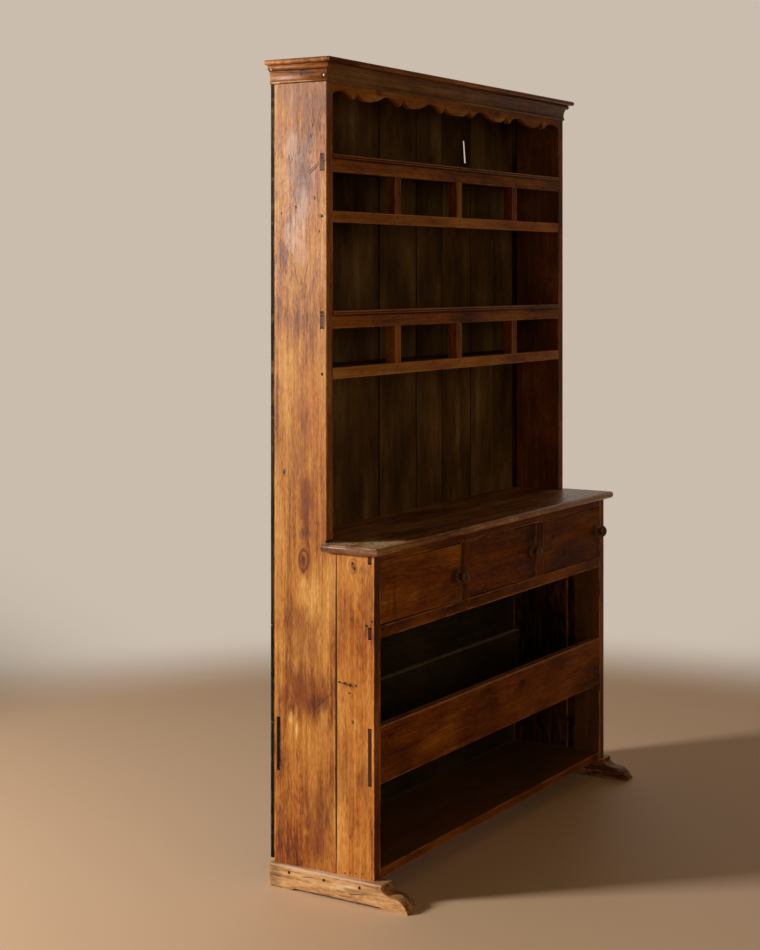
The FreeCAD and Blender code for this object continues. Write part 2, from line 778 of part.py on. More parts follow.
def knob(number):
    """A turned mushroom knob, profiled from its spindle's end forwards to the tip of its dome."""
    tip = s.door_setback - s.knob_reach
    body = new_body(f"knob_{number}", knob_x(number), tip, knob_z(number))
    sketch = sketch_on(body, "profile", "Z", 0)
    end = LATCH_FRONT + s.latch_thickness - tip
    face = s.knob_reach - s.knob_clearance
    flange = face - s.knob_flange_height
    rim = s.knob_dome_height + s.knob_rim_height
    neck = rim + s.knob_neck_height / 2
    draw_outline(sketch, [
        (0, end),
        (s.spindle_radius, end),
        (s.spindle_radius, face),
        (s.knob_flange_radius, face),
        (s.knob_flange_radius, flange),
        (s.knob_neck_radius, neck, level_start(s.knob_flange_radius - s.knob_neck_radius, flange - neck)),
        (s.knob_under_radius, rim, level_start(s.knob_under_radius - s.knob_neck_radius, neck - rim)),
        (s.knob_head_radius, s.knob_dome_height,
         -level_start(s.knob_head_radius - s.knob_under_radius, s.knob_rim_height)),
        (0, 0, -level_start(s.knob_dome_height, s.knob_head_radius)),
    ])
    turning = body.newObject("PartDesign::Revolution", "turned")
    turning.Profile = sketch
    turning.ReferenceAxis = (sketch, ["V_Axis"])
    turning.Angle = 360


def latch(number):
    """A wooden arm on the knob's spindle: level when released, turned up behind the top rail to hold."""
    half = s.latch_width / 2
    reach = latch_reach(number)
    body = new_body(f"latch_{number}", knob_x(number) - reach, LATCH_FRONT, knob_z(number) - half)
    pad(body, "arm", "Y", 0, s.latch_thickness, rectangle(0, 0, reach + half, s.latch_width))
    bore(body, "spindle_hole", "Y", 0, s.latch_thickness, reach, half, s.spindle_radius)
    across = FreeCAD.Vector(0, 1, 0)
    round_edges(body, "rounded_ends", s.latch_rounding, lambda edge: runs_along(edge, across))


def door_stops():
    """Blocks behind the top rail that the doors close against, clear of the latches' sweep."""
    stops = []
    for number in range(1, len(OPENINGS) + 1):
        stop = doc.addObject("Part::Box", f"door_stop_{number}")
        bind(stop, "Length", s.stop_length)
        bind(stop, "Width", s.stop_thickness)
        bind(stop, "Height", s.stop_height)
        latch_end = knob_x(number) - latch_reach(number) - s.latch_width / 2
        place(stop, latch_end - s.stop_from_latch - s.stop_length, s.frame_thickness,
              opening_top - s.stop_overlap)
        stops.append(stop)
    group("door_stops", stops)


def bank():
    bank_rails()
    for number, middle in enumerate(STILE_MIDDLES, start=1):
        bank_stile(number, middle)
    housed_board("cupboard_floor", s.frame_thickness, cupboard_floor_underside,
                 s.base_depth - s.frame_thickness, s.cupboard_floor_thickness)
    worktop()
    door_stops()
    for number, opening in enumerate(OPENINGS, start=1):
        door(number, opening)
        door_pins(number, opening)
        knob(number)
        latch(number)


# The galleries: a pegged frame of two rails and three stiles, with a shelf behind each rail

GALLERIES = (("lower_gallery", lower_gallery_bottom), ("upper_gallery", upper_gallery_bottom))
GALLERY_STILES = [s.gallery_first_stile + s.gallery_stile_spacing * n for n in range(STILES_IN_A_GALLERY)]


def gallery_top_rail(name, bottom):
    """The top rail carries a lip of two beads along its upper front edge, over a fine quirk."""
    tenon = s.side_thickness
    z = bottom + s.gallery_height - s.gallery_top_rail_height
    body = new_body(f"{name}_top_rail", 0, rack_front - s.lip_reach, z)
    face = s.lip_reach
    back = s.lip_reach + s.gallery_frame_thickness
    height = s.gallery_top_rail_height
    lip = height - s.lip_height
    groove = lip + s.lip_lower_bead
    pad(body, "rail", "X", tenon, inner_length, [
        (face, 0),
        (back, 0),
        (back, height),
        (s.lip_top_radius, height),
        (0, height - s.lip_top_radius, s.lip_top_radius),
        (0, groove + s.lip_groove_half_width),
        (s.lip_groove_depth, groove),
        (0, groove - s.lip_groove_half_width),
        (0, lip + s.lip_bottom_radius),
        (s.lip_bottom_radius, lip, s.lip_bottom_radius),
        (face + s.lip_quirk, lip),
        (face + s.lip_quirk, lip - s.lip_quirk),
        (face, lip - s.lip_quirk * 2),
    ])
    pad(body, "tenons", "Y", face + s.tenon_setback, s.gallery_tenon_thickness,
        rectangle(0, 0, s.case_length, height))
    for number, middle in enumerate(GALLERY_STILES, start=1):
        cut(body, f"stile_mortise_{number}", "Z", 0, s.gallery_stile_tenon,
            rectangle(middle - s.gallery_stile_width / 2, face + s.tenon_setback,
                      s.gallery_stile_width, s.gallery_tenon_thickness))
        bore(body, f"peg_hole_{number}", "Y", 0, face + s.gallery_peg_length, middle,
             s.gallery_stile_tenon / 2, s.gallery_peg_radius)


def gallery_bottom_rail(name, bottom):
    body = rail(f"{name}_bottom_rail", rack_front, bottom, s.gallery_bottom_rail_height,
                s.gallery_frame_thickness, s.tenon_setback, s.gallery_tenon_thickness,
                s.housing_depth, 0)
    start = s.side_thickness - s.housing_depth
    low = s.gallery_bottom_rail_height - s.gallery_stile_tenon
    for number, middle in enumerate(GALLERY_STILES, start=1):
        cut(body, f"stile_mortise_{number}", "Z", low, s.gallery_stile_tenon,
            rectangle(middle - start - s.gallery_stile_width / 2, s.tenon_setback,
                      s.gallery_stile_width, s.gallery_tenon_thickness))
        bore(body, f"peg_hole_{number}", "Y", 0, s.gallery_peg_length, middle - start,
             low + s.gallery_stile_tenon / 2, s.gallery_peg_radius)
    grip = s.end_peg_length - start
    for hand, x in zip(HANDS, (0, inner_length + s.housing_depth * 2 - grip)):
        bore(body, f"{hand}_end_peg_hole", "X", x, grip, s.end_peg_setback,
             s.gallery_bottom_rail_height / 2, s.end_peg_radius)


def gallery_stile(name, bottom, number, middle):
    tenon = s.gallery_stile_tenon
    z = bottom + s.gallery_bottom_rail_height - tenon
    height = s.gallery_height - s.gallery_top_rail_height - s.gallery_bottom_rail_height
    body = new_body(f"{name}_stile_{number}", middle - s.gallery_stile_width / 2, rack_front, z)
    pad(body, "stile", "Y", 0, s.gallery_frame_thickness,
        rectangle(0, tenon, s.gallery_stile_width, height))
    pad(body, "tenons", "Y", s.tenon_setback, s.gallery_tenon_thickness,
        rectangle(0, 0, s.gallery_stile_width, height + tenon * 2))
    for end, peg in zip(("lower", "upper"), (tenon / 2, height + tenon + tenon / 2)):
        bore(body, f"{end}_peg_hole", "Y", s.tenon_setback, s.gallery_tenon_thickness,
             s.gallery_stile_width / 2, peg, s.gallery_peg_radius)


def gallery_pegs():
    pegs = []
    for name, bottom in GALLERIES:
        low = bottom + s.gallery_bottom_rail_height - s.gallery_stile_tenon / 2
        high = bottom + s.gallery_height - s.gallery_top_rail_height + s.gallery_stile_tenon / 2
        for number, middle in enumerate(GALLERY_STILES, start=1):
            for end, z in (("lower", low), ("upper", high)):
                pegs.append(cylinder(f"{name}_{end}_peg_{number}", "Y", middle, rack_front, z,
                                     s.gallery_peg_radius, s.gallery_peg_length))
        for hand, x in zip(HANDS, (0, s.case_length - s.end_peg_length)):
            pegs.append(cylinder(f"{name}_{hand}_end_peg", "X", x, rack_front + s.end_peg_setback,
                                 bottom + s.gallery_bottom_rail_height / 2, s.end_peg_radius,
                                 s.end_peg_length))
    group("gallery_pegs", pegs)


def galleries():
    shelf_depth = s.base_depth - gallery_back
    for name, bottom in GALLERIES:
        gallery_top_rail(name, bottom)
        gallery_bottom_rail(name, bottom)
        for number, middle in enumerate(GALLERY_STILES, start=1):
            gallery_stile(name, bottom, number, middle)
        shelf = bottom + s.gallery_height - s.lip_height - s.rack_shelf_thickness
        housed_board(f"{name}_shelf", gallery_back, shelf, shelf_depth, s.rack_shelf_thickness)
        floor = bottom + s.gallery_bottom_rail_height - s.rack_shelf_thickness
        housed_board(f"{name}_floor", gallery_back, floor, shelf_depth, s.rack_shelf_thickness)
    gallery_pegs()


# The crown: a scalloped valance, a mitred cornice in three pieces and a rounded board on top

def mirrored(steps, middle):
    """The other half of an outline: the same steps taken backwards about an upright line."""
    return [((middle * 2 - end[0], end[1]), (middle * 2 - start[0], start[1]), arc)
            for start, end, arc in reversed(steps)]


def scallops(start_x, middle):
    """The valance's lower edge: lobes and arches that meet in narrow notches, the same both ways."""
    steps = []
    room = middle - start_x - s.centre_lobe_half_width - s.notch_half_width - s.arch_rise * 2
    notches = [middle - s.centre_lobe_half_width - s.scallop_pitch * n
               for n in reversed(range(1 + int(room.value / s.scallop_pitch.value)))]
    corner = (start_x, s.end_arch_height)
    for index, notch in enumerate(notches):
        point = (notch - s.notch_half_width, 0)
        steps.append((corner, point, bow(-s.arch_rise)))
        steps.append((point, (notch, s.scallop_rise), None))
        flank = (notch + s.lobe_flank_width, 0)
        steps.append(((notch, s.scallop_rise), flank, bow(s.lobe_flank_rise)))
        corner = (notch + s.lobe_width, s.lobe_lift)
        if index < len(notches) - 1:
            steps.append((flank, corner, bow(s.lobe_belly_rise)))
    other = mirrored(steps, middle)
    steps.append((steps[-1][1], other[0][0], None))
    return steps + other


def valance():
    tenon = s.housing_depth
    body = new_body("valance", s.side_thickness - tenon, rack_front, valance_bottom)
    middle = tenon + inner_length / 2
    steps = scallops(tenon, middle)
    path = [steps[0][0]] + [end if arc is None else (*end, arc) for _, end, arc in steps]
    path += [(tenon + inner_length, s.valance_height), (tenon, s.valance_height)]
    pad(body, "board", "Y", 0, s.valance_thickness, path)
    low = s.valance_height - s.top_tenon_shoulder - s.valance_tenon_height
    pad(body, "tenons", "Y", (s.valance_thickness - s.valance_tenon_thickness) / 2,
        s.valance_tenon_thickness,
        rectangle(0, low, inner_length + tenon * 2, s.valance_tenon_height))


def cornice_profile(back, outward):
    """The moulding's section against a flat back: outward is -1 where it faces down the axis."""
    def at(reach, height, arc=None):
        corner = (back + reach * outward, height)
        return corner if arc is None else (*corner, arc)

    face = [
        (0, s.cornice_height, None),
        (s.cornice_ovolo_reach, s.cornice_height, None),
        (s.cornice_ovolo_reach, s.cornice_ovolo_bottom, bow(s.cornice_ovolo_rise)),
        (s.cornice_cove_top_reach, s.cornice_ovolo_bottom, None),
        (s.cornice_bead_reach, s.cornice_bead_height, bow(-s.cornice_cove_rise)),
        (s.cornice_bead_reach, 0, bow(s.cornice_bead_rise)),
        (0, 0, None),
    ]
    if outward < 0:
        return [at(*corner) for corner in face]
    turned = [(reach, height, face[(index + 1) % len(face)][2])
              for index, (reach, height, _) in enumerate(face)]
    return [at(*corner) for corner in reversed(turned)]


def cornice_front():
    reach = s.cornice_reach
    body = new_body("cornice_front", -reach, rack_front - reach, crown_underside - s.cornice_height)
    length = s.case_length + reach * 2
    pad(body, "moulding", "X", 0, length, cornice_profile(reach, -1))
    cut(body, "left_mitre", "Z", 0, s.cornice_height, [(0, 0), (reach, reach), (0, reach)])
    cut(body, "right_mitre", "Z", 0, s.cornice_height,
        [(length, 0), (length, reach), (length - reach, reach)])


def cornice_return(hand):
    reach = s.cornice_reach
    x = -reach if hand == "left" else s.case_length
    body = new_body(f"cornice_{hand}", x, rack_front - reach, crown_underside - s.cornice_height)
    length = crown_rear - rack_front + reach
    if hand == "left":
        pad(body, "moulding", "Y", 0, length, cornice_profile(reach, -1))
        cut(body, "mitre", "Z", 0, s.cornice_height, [(0, 0), (reach, 0), (reach, reach)])
    else:
        pad(body, "moulding", "Y", 0, length, cornice_profile(0, 1))
        cut(body, "mitre", "Z", 0, s.cornice_height, [(0, 0), (reach, 0), (0, reach)])


def crown_board():
    overhang = s.crown_overhang
    body = new_body("crown_board", -overhang, rack_front - overhang, crown_underside)
    length = s.case_length + overhang * 2
    pad(body, "board", "Z", 0, s.crown_board_thickness,
        rectangle(0, 0, length, crown_rear - rack_front + overhang))
    far = length.value

    def on_nose(edge):
        middle = edge.CenterOfMass
        ends = min(abs(middle.x), abs(middle.x - far)) < NEAR
        return is_level(edge) and (abs(middle.y) < NEAR or ends)

    round_edges(body, "nose", s.crown_nose_radius, on_nose)


# The back: upright planks behind the rack and the cupboard, two wide boards across the open base

def back_planks():
    widths = [s.plank_1_width, s.plank_2_width, s.plank_3_width, s.plank_4_width, s.plank_5_width,
              s.plank_6_width]
    widths.append(s.case_length - sum(widths[1:], widths[0]))
    height = crown_underside - plank_bottom
    x = 0
    for number, width in enumerate(widths, start=1):
        last = number == len(widths)
        body = new_body(f"back_plank_{number}", x, s.base_depth, plank_bottom)
        broad = width if last else width - s.plank_gap
        pad(body, "plank", "Y", 0, s.plank_thickness, rectangle(0, 0, broad, height))
        if width is s.plank_5_width:
            split(body, broad - s.split_from_edge, height - s.split_below_crown)
        x = x + width


def split(body, middle, top):
    """A leaning split right through a plank, whose back has broken away to a thin skin around it."""
    low = top - s.split_height
    top_middle, low_middle = middle - s.split_lean / 2, middle + s.split_lean / 2
    half_top, half_low = s.split_top_width / 2, s.split_bottom_width / 2
    cut(body, "spall", "Y", s.split_skin, s.plank_thickness - s.split_skin, [
        (low_middle - half_low - s.spall_left, low - s.spall_end),
        (low_middle + half_low + s.spall_right, low - s.spall_end),
        (top_middle + half_top + s.spall_right, top + s.spall_end),
        (top_middle - half_top - s.spall_left, top + s.spall_end),
    ])
    cut(body, "split", "Y", 0, s.split_skin, [
        (low_middle - half_low, low),
        (low_middle + half_low, low),
        (top_middle + half_top, top),
        (top_middle - half_top, top),
    ])


def back_boards():
    for label, low, high in (("back_board_lower", s.back_board_bottom, s.back_board_seam),
                             ("back_board_upper", s.back_board_seam, plank_bottom)):
        body = new_body(label, 0, s.base_depth, low)
        pad(body, "board", "Y", 0, s.back_board_thickness,
            rectangle(0, 0, s.case_length, high - low - s.plank_gap))


for side in HANDS:
    tall_side_board(side)
    front_side_board(side)
    shoe_foot(side)
shoe_pegs()
open_base()
bank()
galleries()
valance()
cornice_front()
for side in HANDS:
    cornice_return(side)
crown_board()
back_planks()
back_boards()
doc.recompute()

# Every feature has to be sound, and every cut has to remove something, before a file is written

for thing in doc.Objects:
    if "Invalid" in thing.State or "Error" in thing.State:
        raise RuntimeError(f"{thing.Label} did not recompute: {thing.State}")
    if thing.TypeId == "PartDesign::Pocket" and thing.Shape.Volume >= thing.BaseFeature.Shape.Volume:
        raise RuntimeError(f"{thing.Label} in {thing.getParentGeoFeatureGroup().Label} cuts nothing")

os.makedirs("parts", exist_ok=True)
for piece in pieces:
    shape = piece.Shape
    if shape.isNull() or not shape.isValid():
        raise RuntimeError(f"{piece.Label} has no sound shape")
    shape.exportStep(f"parts/{piece.Label}.step")
    print(f"{piece.Label}: {len(shape.Solids)} solid(s), {shape.Volume / 1000:.1f} cm3")
print(f"{len(pieces)} pieces")
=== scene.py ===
# %% [markdown]
# A tall kitchen cupboard
#
# This notebook dresses a planked kitchen cupboard: a rack with two small galleries stands over three
# doors and an open base. Every board is already cut and jointed at its real size, so the work here is
# what time and a finisher did to it: wood grain, wax, wear, nails, cracks, and the light that shows them.

# %% Load the boards
import math
import random
import zlib
from types import SimpleNamespace

import bpy
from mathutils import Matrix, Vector


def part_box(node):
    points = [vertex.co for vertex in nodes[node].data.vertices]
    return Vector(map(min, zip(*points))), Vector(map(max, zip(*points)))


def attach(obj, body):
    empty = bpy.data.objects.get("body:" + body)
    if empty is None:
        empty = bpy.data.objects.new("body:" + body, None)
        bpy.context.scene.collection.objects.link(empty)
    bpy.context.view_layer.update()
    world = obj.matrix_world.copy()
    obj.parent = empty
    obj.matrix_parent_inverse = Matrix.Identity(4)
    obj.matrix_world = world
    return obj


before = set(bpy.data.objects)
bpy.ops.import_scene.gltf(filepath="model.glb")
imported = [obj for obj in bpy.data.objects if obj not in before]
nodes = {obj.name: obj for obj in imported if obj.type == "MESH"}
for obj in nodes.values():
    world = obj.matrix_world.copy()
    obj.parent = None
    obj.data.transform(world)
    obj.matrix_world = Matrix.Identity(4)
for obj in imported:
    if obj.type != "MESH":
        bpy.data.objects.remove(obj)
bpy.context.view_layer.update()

# %% [markdown]
# Every place on the cupboard is told from three faces of the case, as a joiner would measure it: from
# the left side, from the front of the base and from the floor. Blender works in metres and a joiner in
# millimetres, so one value turns the one into the other.

# %% Places on the case
MM = 0.001
LEFT_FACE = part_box("left_side_board")[0].x
FRONT_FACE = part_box("front_board")[0].y
CORNER = (LEFT_FACE, FRONT_FACE, 0)


def place_of(node):
    """The lowest and the highest corner of a board, in millimetres from the corner of the case."""
    return [(corner - Vector(CORNER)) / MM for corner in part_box(node)]


FULL = round(place_of("right_side_board")[1].x)
HALF = FULL // 2
print("the case is", FULL, "mm wide, its worktop", round(place_of("worktop")[1].z), "mm high")

# %% [markdown]
# The camera stands to the left, level with a person's eye, and looks straight ahead so that upright edges
# stay upright. A lens shift lowers the frame instead of a tilt, as an architectural photographer would do
# it. Its place and its turn come from the vanishing points of the long rails.

# %% Camera
FRAME_HEIGHT = 950
SENSOR = 36.0
FOCAL_PIXELS = 1829.3
EYE_LINE_PIXEL = 275.7
EYE_TO_LEFT, EYE_TO_FRONT, EYE_HEIGHT = 3.8132, 2.3244, 1.5377
TURN = math.radians(-58.8225)
FAR_CLIP = 100

eye = (LEFT_FACE - EYE_TO_LEFT, FRONT_FACE - EYE_TO_FRONT, EYE_HEIGHT)
bpy.ops.object.camera_add(location=eye, rotation=(math.pi / 2, 0, TURN))
camera = bpy.context.object
camera.name = "camera"
camera.data.sensor_width = SENSOR
camera.data.lens = FOCAL_PIXELS / FRAME_HEIGHT * SENSOR
camera.data.shift_y = (EYE_LINE_PIXEL - FRAME_HEIGHT / 2) / FRAME_HEIGHT
camera.data.clip_end = FAR_CLIP
bpy.context.scene.camera = camera
print("lens", round(camera.data.lens, 1), "mm, shift", round(camera.data.shift_y, 3))

# %% [markdown]
# Shader maths reads best as plain sums. Wire holds one socket of a material, and Python's operators on it
# add the Math nodes for us, so that 1 - mask * 2 is three tokens of code and not three nodes by hand.
# Every other kind of node comes from its node() method: settings first, then the sockets.


# %% A socket with operators
class Wire:
    """One socket in a material's tree. Sums, products and powers of wires add Math nodes."""

    def __init__(self, tree, socket=None):
        self.tree = tree
        self.socket = socket

    def node(self, kind, sockets, output=0, **settings):
        made = self.tree.nodes.new("ShaderNode" + kind)
        for name, value in settings.items():
            if name == "stops":
                fill_ramp(made.color_ramp, value)
            else:
                setattr(made, name, value)
        for name, value in sockets.items():
            if isinstance(value, Wire):
                self.tree.links.new(value.socket, made.inputs[name])
            else:
                made.inputs[name].default_value = value
        return Wire(self.tree, made.outputs[output])

    def math(self, operation, *values):
        return self.node("Math", dict(enumerate(values)), operation=operation)

    def __add__(self, other):
        return self.math("ADD", self, other)

    def __radd__(self, other):
        return self.math("ADD", other, self)

    def __sub__(self, other):
        return self.math("SUBTRACT", self, other)

    def __rsub__(self, other):
        return self.math("SUBTRACT", other, self)

    def __mul__(self, other):
        return self.math("MULTIPLY", self, other)

    def __rmul__(self, other):
        return self.math("MULTIPLY", other, self)

    def __truediv__(self, other):
        return self.math("DIVIDE", self, other)

    def __pow__(self, other):
        return self.math("POWER", self, other)

    def __abs__(self):
        return self.math("ABSOLUTE", self)

    def least(self, other):
        return self.math("MINIMUM", self, other)

    def most(self, other):
        return self.math("MAXIMUM", self, other)

    def step(self, start, end, first=0.0, last=1.0):
        """First at start, last at end, eased between them. Start may be the larger."""
        if start > end:
            start, end, first, last = end, start, last, first
        values = {"Value": self, "From Min": start, "From Max": end, "To Min": first, "To Max": last}
        return self.node("MapRange", values, interpolation_type="SMOOTHSTEP")


# %% [markdown]
# Paint charts give colours as three numbers up to 255, while a shader works in linear light, so paint()
# turns the one into the other. A ramp runs through its colours from dark to pale.


# %% Colours
def paint(red, green, blue):
    """A colour as a paint chart gives it, 0 to 255, in the linear light that the shader works in."""
    def linear(value):
        share = value / 255
        return share / 12.92 if share <= 0.04045 else ((share + 0.055) / 1.055) ** 2.4
    return (linear(red), linear(green), linear(blue), 1)


def stops(*colours, at=(0.0, 0.25, 0.5, 0.75, 1.0)):
    """The stops of a ramp from dark to pale, evenly spread unless told otherwise."""
    return tuple((place, paint(*colour)) for place, colour in zip(at, colours))


def fill_ramp(ramp, wanted):
    while len(ramp.elements) < len(wanted):
        ramp.elements.new(1)
    for element, (position, colour) in zip(ramp.elements, wanted):
        element.position = position
        element.color = colour


def mix(factor, first, second, blend_type="MIX"):
    """Two colours through one Mix node."""
    return factor.node("Mix", {0: factor, 6: first, 7: second}, output=2, data_type="RGBA",
                       blend_type=blend_type)


# %% A new material
def new_material(name):
    """A material with its principled shader, its tree as a wire, and where a point is on the object."""
    material = bpy.data.materials.new(name)
    material.use_nodes = True
    tree = Wire(material.node_tree)
    shader = material.node_tree.nodes["Principled BSDF"]
    place = tree.node("TexCoord", {}, output="Object")
    return material, tree, shader, place


def plug(wire, shader, name):
    wire.tree.links.new(wire.socket, shader.inputs[name])


# %% [markdown]
# The room is plain: a pale floor whose far part melts into a pale backdrop. The backdrop is bright only
# straight behind the cupboard and dim to the sides, so that the waxed front, which mirrors the side of
# the room, stays in shade. The floor's far part fades to the same colour in every direction.

# %% The colour of the room
BACKDROP = paint(203, 189, 174)
DIM_ROOM = paint(88, 68, 38)
DIM_FROM, BRIGHT_FROM = 0.55, 0.93
AHEAD = (-math.sin(TURN), math.cos(TURN), 0)


def room_colour(heading):
    """The colour of the room in a direction: bright straight behind the cupboard, dim elsewhere."""
    ahead = heading.node("VectorMath", {0: heading, 1: AHEAD}, output="Value", operation="DOT_PRODUCT")
    return mix(ahead.step(DIM_FROM, BRIGHT_FROM), DIM_ROOM, BACKDROP)


# %% Floor
FLOOR_TONE = paint(228, 195, 162)
FLOOR_REACH = 16.0
FLOOR_ROUGHNESS = 0.6
FADE_START, FADE_END = 1.8, 2.9

bpy.ops.mesh.primitive_circle_add(vertices=96, radius=FLOOR_REACH, fill_type="NGON")
floor = bpy.context.object
floor.name = "floor"

floor_material, tree, shader, place = new_material("pale_floor")
far = place.node("VectorMath", {0: place}, output="Value", operation="LENGTH").step(FADE_START, FADE_END)
heading = place.node("VectorMath", {0: place}, operation="NORMALIZE")
shader.inputs["Base Color"].default_value = FLOOR_TONE
shader.inputs["Roughness"].default_value = FLOOR_ROUGHNESS
surface = Wire(tree.tree, shader.outputs[0])
glow = tree.node("Emission", {"Color": room_colour(heading), "Strength": 1.0})
blended = tree.node("MixShader", {0: far, 1: surface, 2: glow})
tree.tree.links.new(blended.socket, tree.tree.nodes["Material Output"].inputs["Surface"])
floor.data.materials.append(floor_material)
print("the floor melts into the backdrop between", FADE_START, "and", FADE_END, "m")

# %% World
world = bpy.data.worlds.new("studio")
bpy.context.scene.world = world
world.use_nodes = True
air = Wire(world.node_tree)
heading = air.node("TexCoord", {}, output="Generated")
sky = air.node("Background", {"Color": room_colour(heading), "Strength": 1.0})
world.node_tree.links.new(sky.socket, world.node_tree.nodes["World Output"].inputs["Surface"])
bpy.context.scene.view_settings.view_transform = "Standard"
print("view transform", bpy.context.scene.view_settings.view_transform)

# %% [markdown]
# One soft key light stands behind and to the left, where its mirror image in the waxed side lights the pale
# patch near the top, which is also painted into the side as sheen. It rakes past the front, which only the
# dim room and a weak fill reach.

# %% Lights
SIDE_MIDDLE = (LEFT_FACE, FRONT_FACE + 0.2, 1.15)
KEY_COLOUR, FILL_COLOUR = (1.0, 0.95, 0.88), (1.0, 0.86, 0.66)


def soft_light(name, location, target, width, height, watts, colour):
    bpy.ops.object.light_add(type="AREA", location=location)
    lamp = bpy.context.object
    lamp.name = name
    lamp.data.shape = "RECTANGLE"
    lamp.data.size = width
    lamp.data.size_y = height
    lamp.data.energy = watts
    lamp.data.color = colour
    aim = Vector(target) - Vector(location)
    lamp.rotation_euler = aim.to_track_quat("-Z", "Y").to_euler()
    print(name, "light,", watts, "W,", round(aim.length, 2), "m away")


soft_light("key", (-3.6, 3.2, 2.1), SIDE_MIDDLE, width=0.7, height=0.9, watts=215, colour=KEY_COLOUR)
soft_light("fill", (-2.5, -5.5, 2.2), (0, 0, 0.9), width=3.0, height=2.4, watts=26, colour=FILL_COLOUR)

# %% [markdown]
# Wood is a solid, so its figure is worked out in the solid and not painted on the faces. Almost all of it
# is noise that is stretched along the grain: long soft streaks, fine grain lines, short flecks, a mottle
# and broad blotches. One table names each kind of noise, so that a number is found in one place.

# %% Kinds of noise
# Each has its repeats for a metre along the grain and across it, then a shift, detail and roughness.
NOISES = {
    "wobble": (20, 70, 9.0, 3.0, 0.55),
    "wander": (1.3, 2.2, 3.1, 2.0, 0.55),
    "ring_width": (9, 60, 5.7, 2.0, 0.55),
    "ring_strength": (2.5, 14, 12.0, 2.0, 0.55),
    "streak": (1.6, 42, 1.0, 6.0, 0.66),
    "fleck": (60, 260, 2.0, 2.0, 0.55),
    "mottle": (11, 60, 15.0, 6.0, 0.68),
    "grain": (4, 170, 18.0, 3.0, 0.6),
    "blotch": (3.4, 8, 4.0, 3.0, 0.55),
    "pores": (60, 1500, 6.0, 0.0, 0.55),
    "redness": (1.8, 6, 21.0, 3.0, 0.55),
    "patches": (11, 80, 27.0, 6.0, 0.7),
    "rubbing_and_highlight": (14, 30, 33.0, 3.0, 0.55),
}
print(len(NOISES), "kinds of noise")

# %% [markdown]
# A board knows where a point is along its grain, across it and through its thickness, and which way the
# face there looks. Around a knot the grain is drawn in, so the place across is pulled towards the knot's
# middle. Marks on a face are ovals, and a crack or a scratch is a very thin oval between two points.

# %% Boards
AXES = "XYZ"
SEED_DRIFT = 0.7
IS_END, LOOKS_THAT_WAY = (0.7, 0.9), (0.5, 0.8)
KNOT_REACH, KNOT_PULL = 2.6, 0.9
PULL_FADE = (1.0, 0.15)
LINE_RAGGED = 0.6


class Board:
    """One board, with wires for a point's place along its grain, across it and through its thickness."""

    def __init__(self, node, tree, place, grain, knots=()):
        low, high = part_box(node)
        self.tree = tree
        self.size = high - low
        self.centre = (high + low) / 2 - Vector(CORNER)
        self.luck = random.Random(zlib.crc32(node.encode()))
        case = place.node("VectorMath", {0: place, 1: CORNER}, operation="SUBTRACT")
        self.spot = {axis: case.node("SeparateXYZ", {0: case}, output=axis) for axis in AXES}
        thin, wide = sorted((a for a in AXES if a != grain), key=lambda a: self.size[AXES.index(a)])
        self.grain_axis, self.wide_axis, self.thin_axis = [AXES.index(a) for a in (grain, wide, thin)]
        self.along, self.across, self.through = self.spot[grain], self.spot[wide], self.spot[thin]
        self.face = tree.node("CombineXYZ", {0: self.across, 1: self.along, 2: 0.0})
        normal = tree.node("TexCoord", {}, output="Normal")
        self.facing = {axis: normal.node("SeparateXYZ", {0: normal}, output=axis) for axis in AXES}
        self.end = abs(self.facing[grain]).step(*IS_END)
        self.seed = self.luck.uniform(0, 90)
        self.wobble = self.noise("wobble") - 0.5
        for across, along, half_across, half_along in knots:
            reach = self.oval(across, along, half_across * KNOT_REACH, half_along * KNOT_REACH)
            pull = reach.step(*PULL_FADE, 0.0, KNOT_PULL)
            self.across = self.across - (self.across - across * MM) * pull

    def noise(self, kind, output="Fac"):
        """One kind of noise, at a place of this board's own."""
        along, across, shift, detail, rough = NOISES[kind]
        point = self.tree.node("CombineXYZ", {0: self.across * across + (self.seed + shift),
                                              1: self.through * across + self.seed * SEED_DRIFT,
                                              2: self.along * along})
        return point.node("TexNoise", {"Vector": point, "Scale": 1.0, "Detail": detail,
                                       "Roughness": rough}, output=output)

    def faces(self, direction, amount=1.0):
        """The amount on all that looks one way, such as to the front, and nothing elsewhere."""
        axis, way = direction
        return (self.facing[axis] * way).step(*LOOKS_THAT_WAY, 0.0, amount)

    def oval(self, across, along, half_across, half_along, turn=0.0, ragged=0.0):
        """How far a point is from the middle of an oval on the face, where its rim is 1. Sizes are mm."""
        if turn:
            local = self.face.node("Mapping", {"Vector": self.face, "Location": (across * MM, along * MM, 0),
                                               "Rotation": (0, 0, math.radians(turn)),
                                               "Scale": (half_across * MM, half_along * MM, 1)},
                                   vector_type="TEXTURE")
        else:
            scale = (1 / (half_across * MM), 1 / (half_along * MM), 0)
            shift = (-across / half_across, -along / half_along, 0)
            local = self.face.node("VectorMath", {0: self.face, 1: scale, 2: shift},
                                   operation="MULTIPLY_ADD")
        distance = local.node("VectorMath", {0: local}, output="Value", operation="LENGTH")
        return distance + self.wobble * ragged if ragged else distance

    def line(self, start, finish, half_width):
        """The distance from a crack or scratch between two points of the face, told as a thin oval."""
        run, rise = finish[0] - start[0], finish[1] - start[1]
        middle = ((start[0] + finish[0]) / 2, (start[1] + finish[1]) / 2)
        turn = math.degrees(math.atan2(rise, run))
        return self.oval(*middle, math.hypot(run, rise) / 2, half_width, turn, LINE_RAGGED)

    def arris(self):
        """How far a point is from the nearest arris of the board."""
        x, y, z = [self.size[n] / 2 - abs(self.spot[axis] - self.centre[n]) for n, axis in enumerate(AXES)]
        return x.least(y).most(x.most(y).least(z))


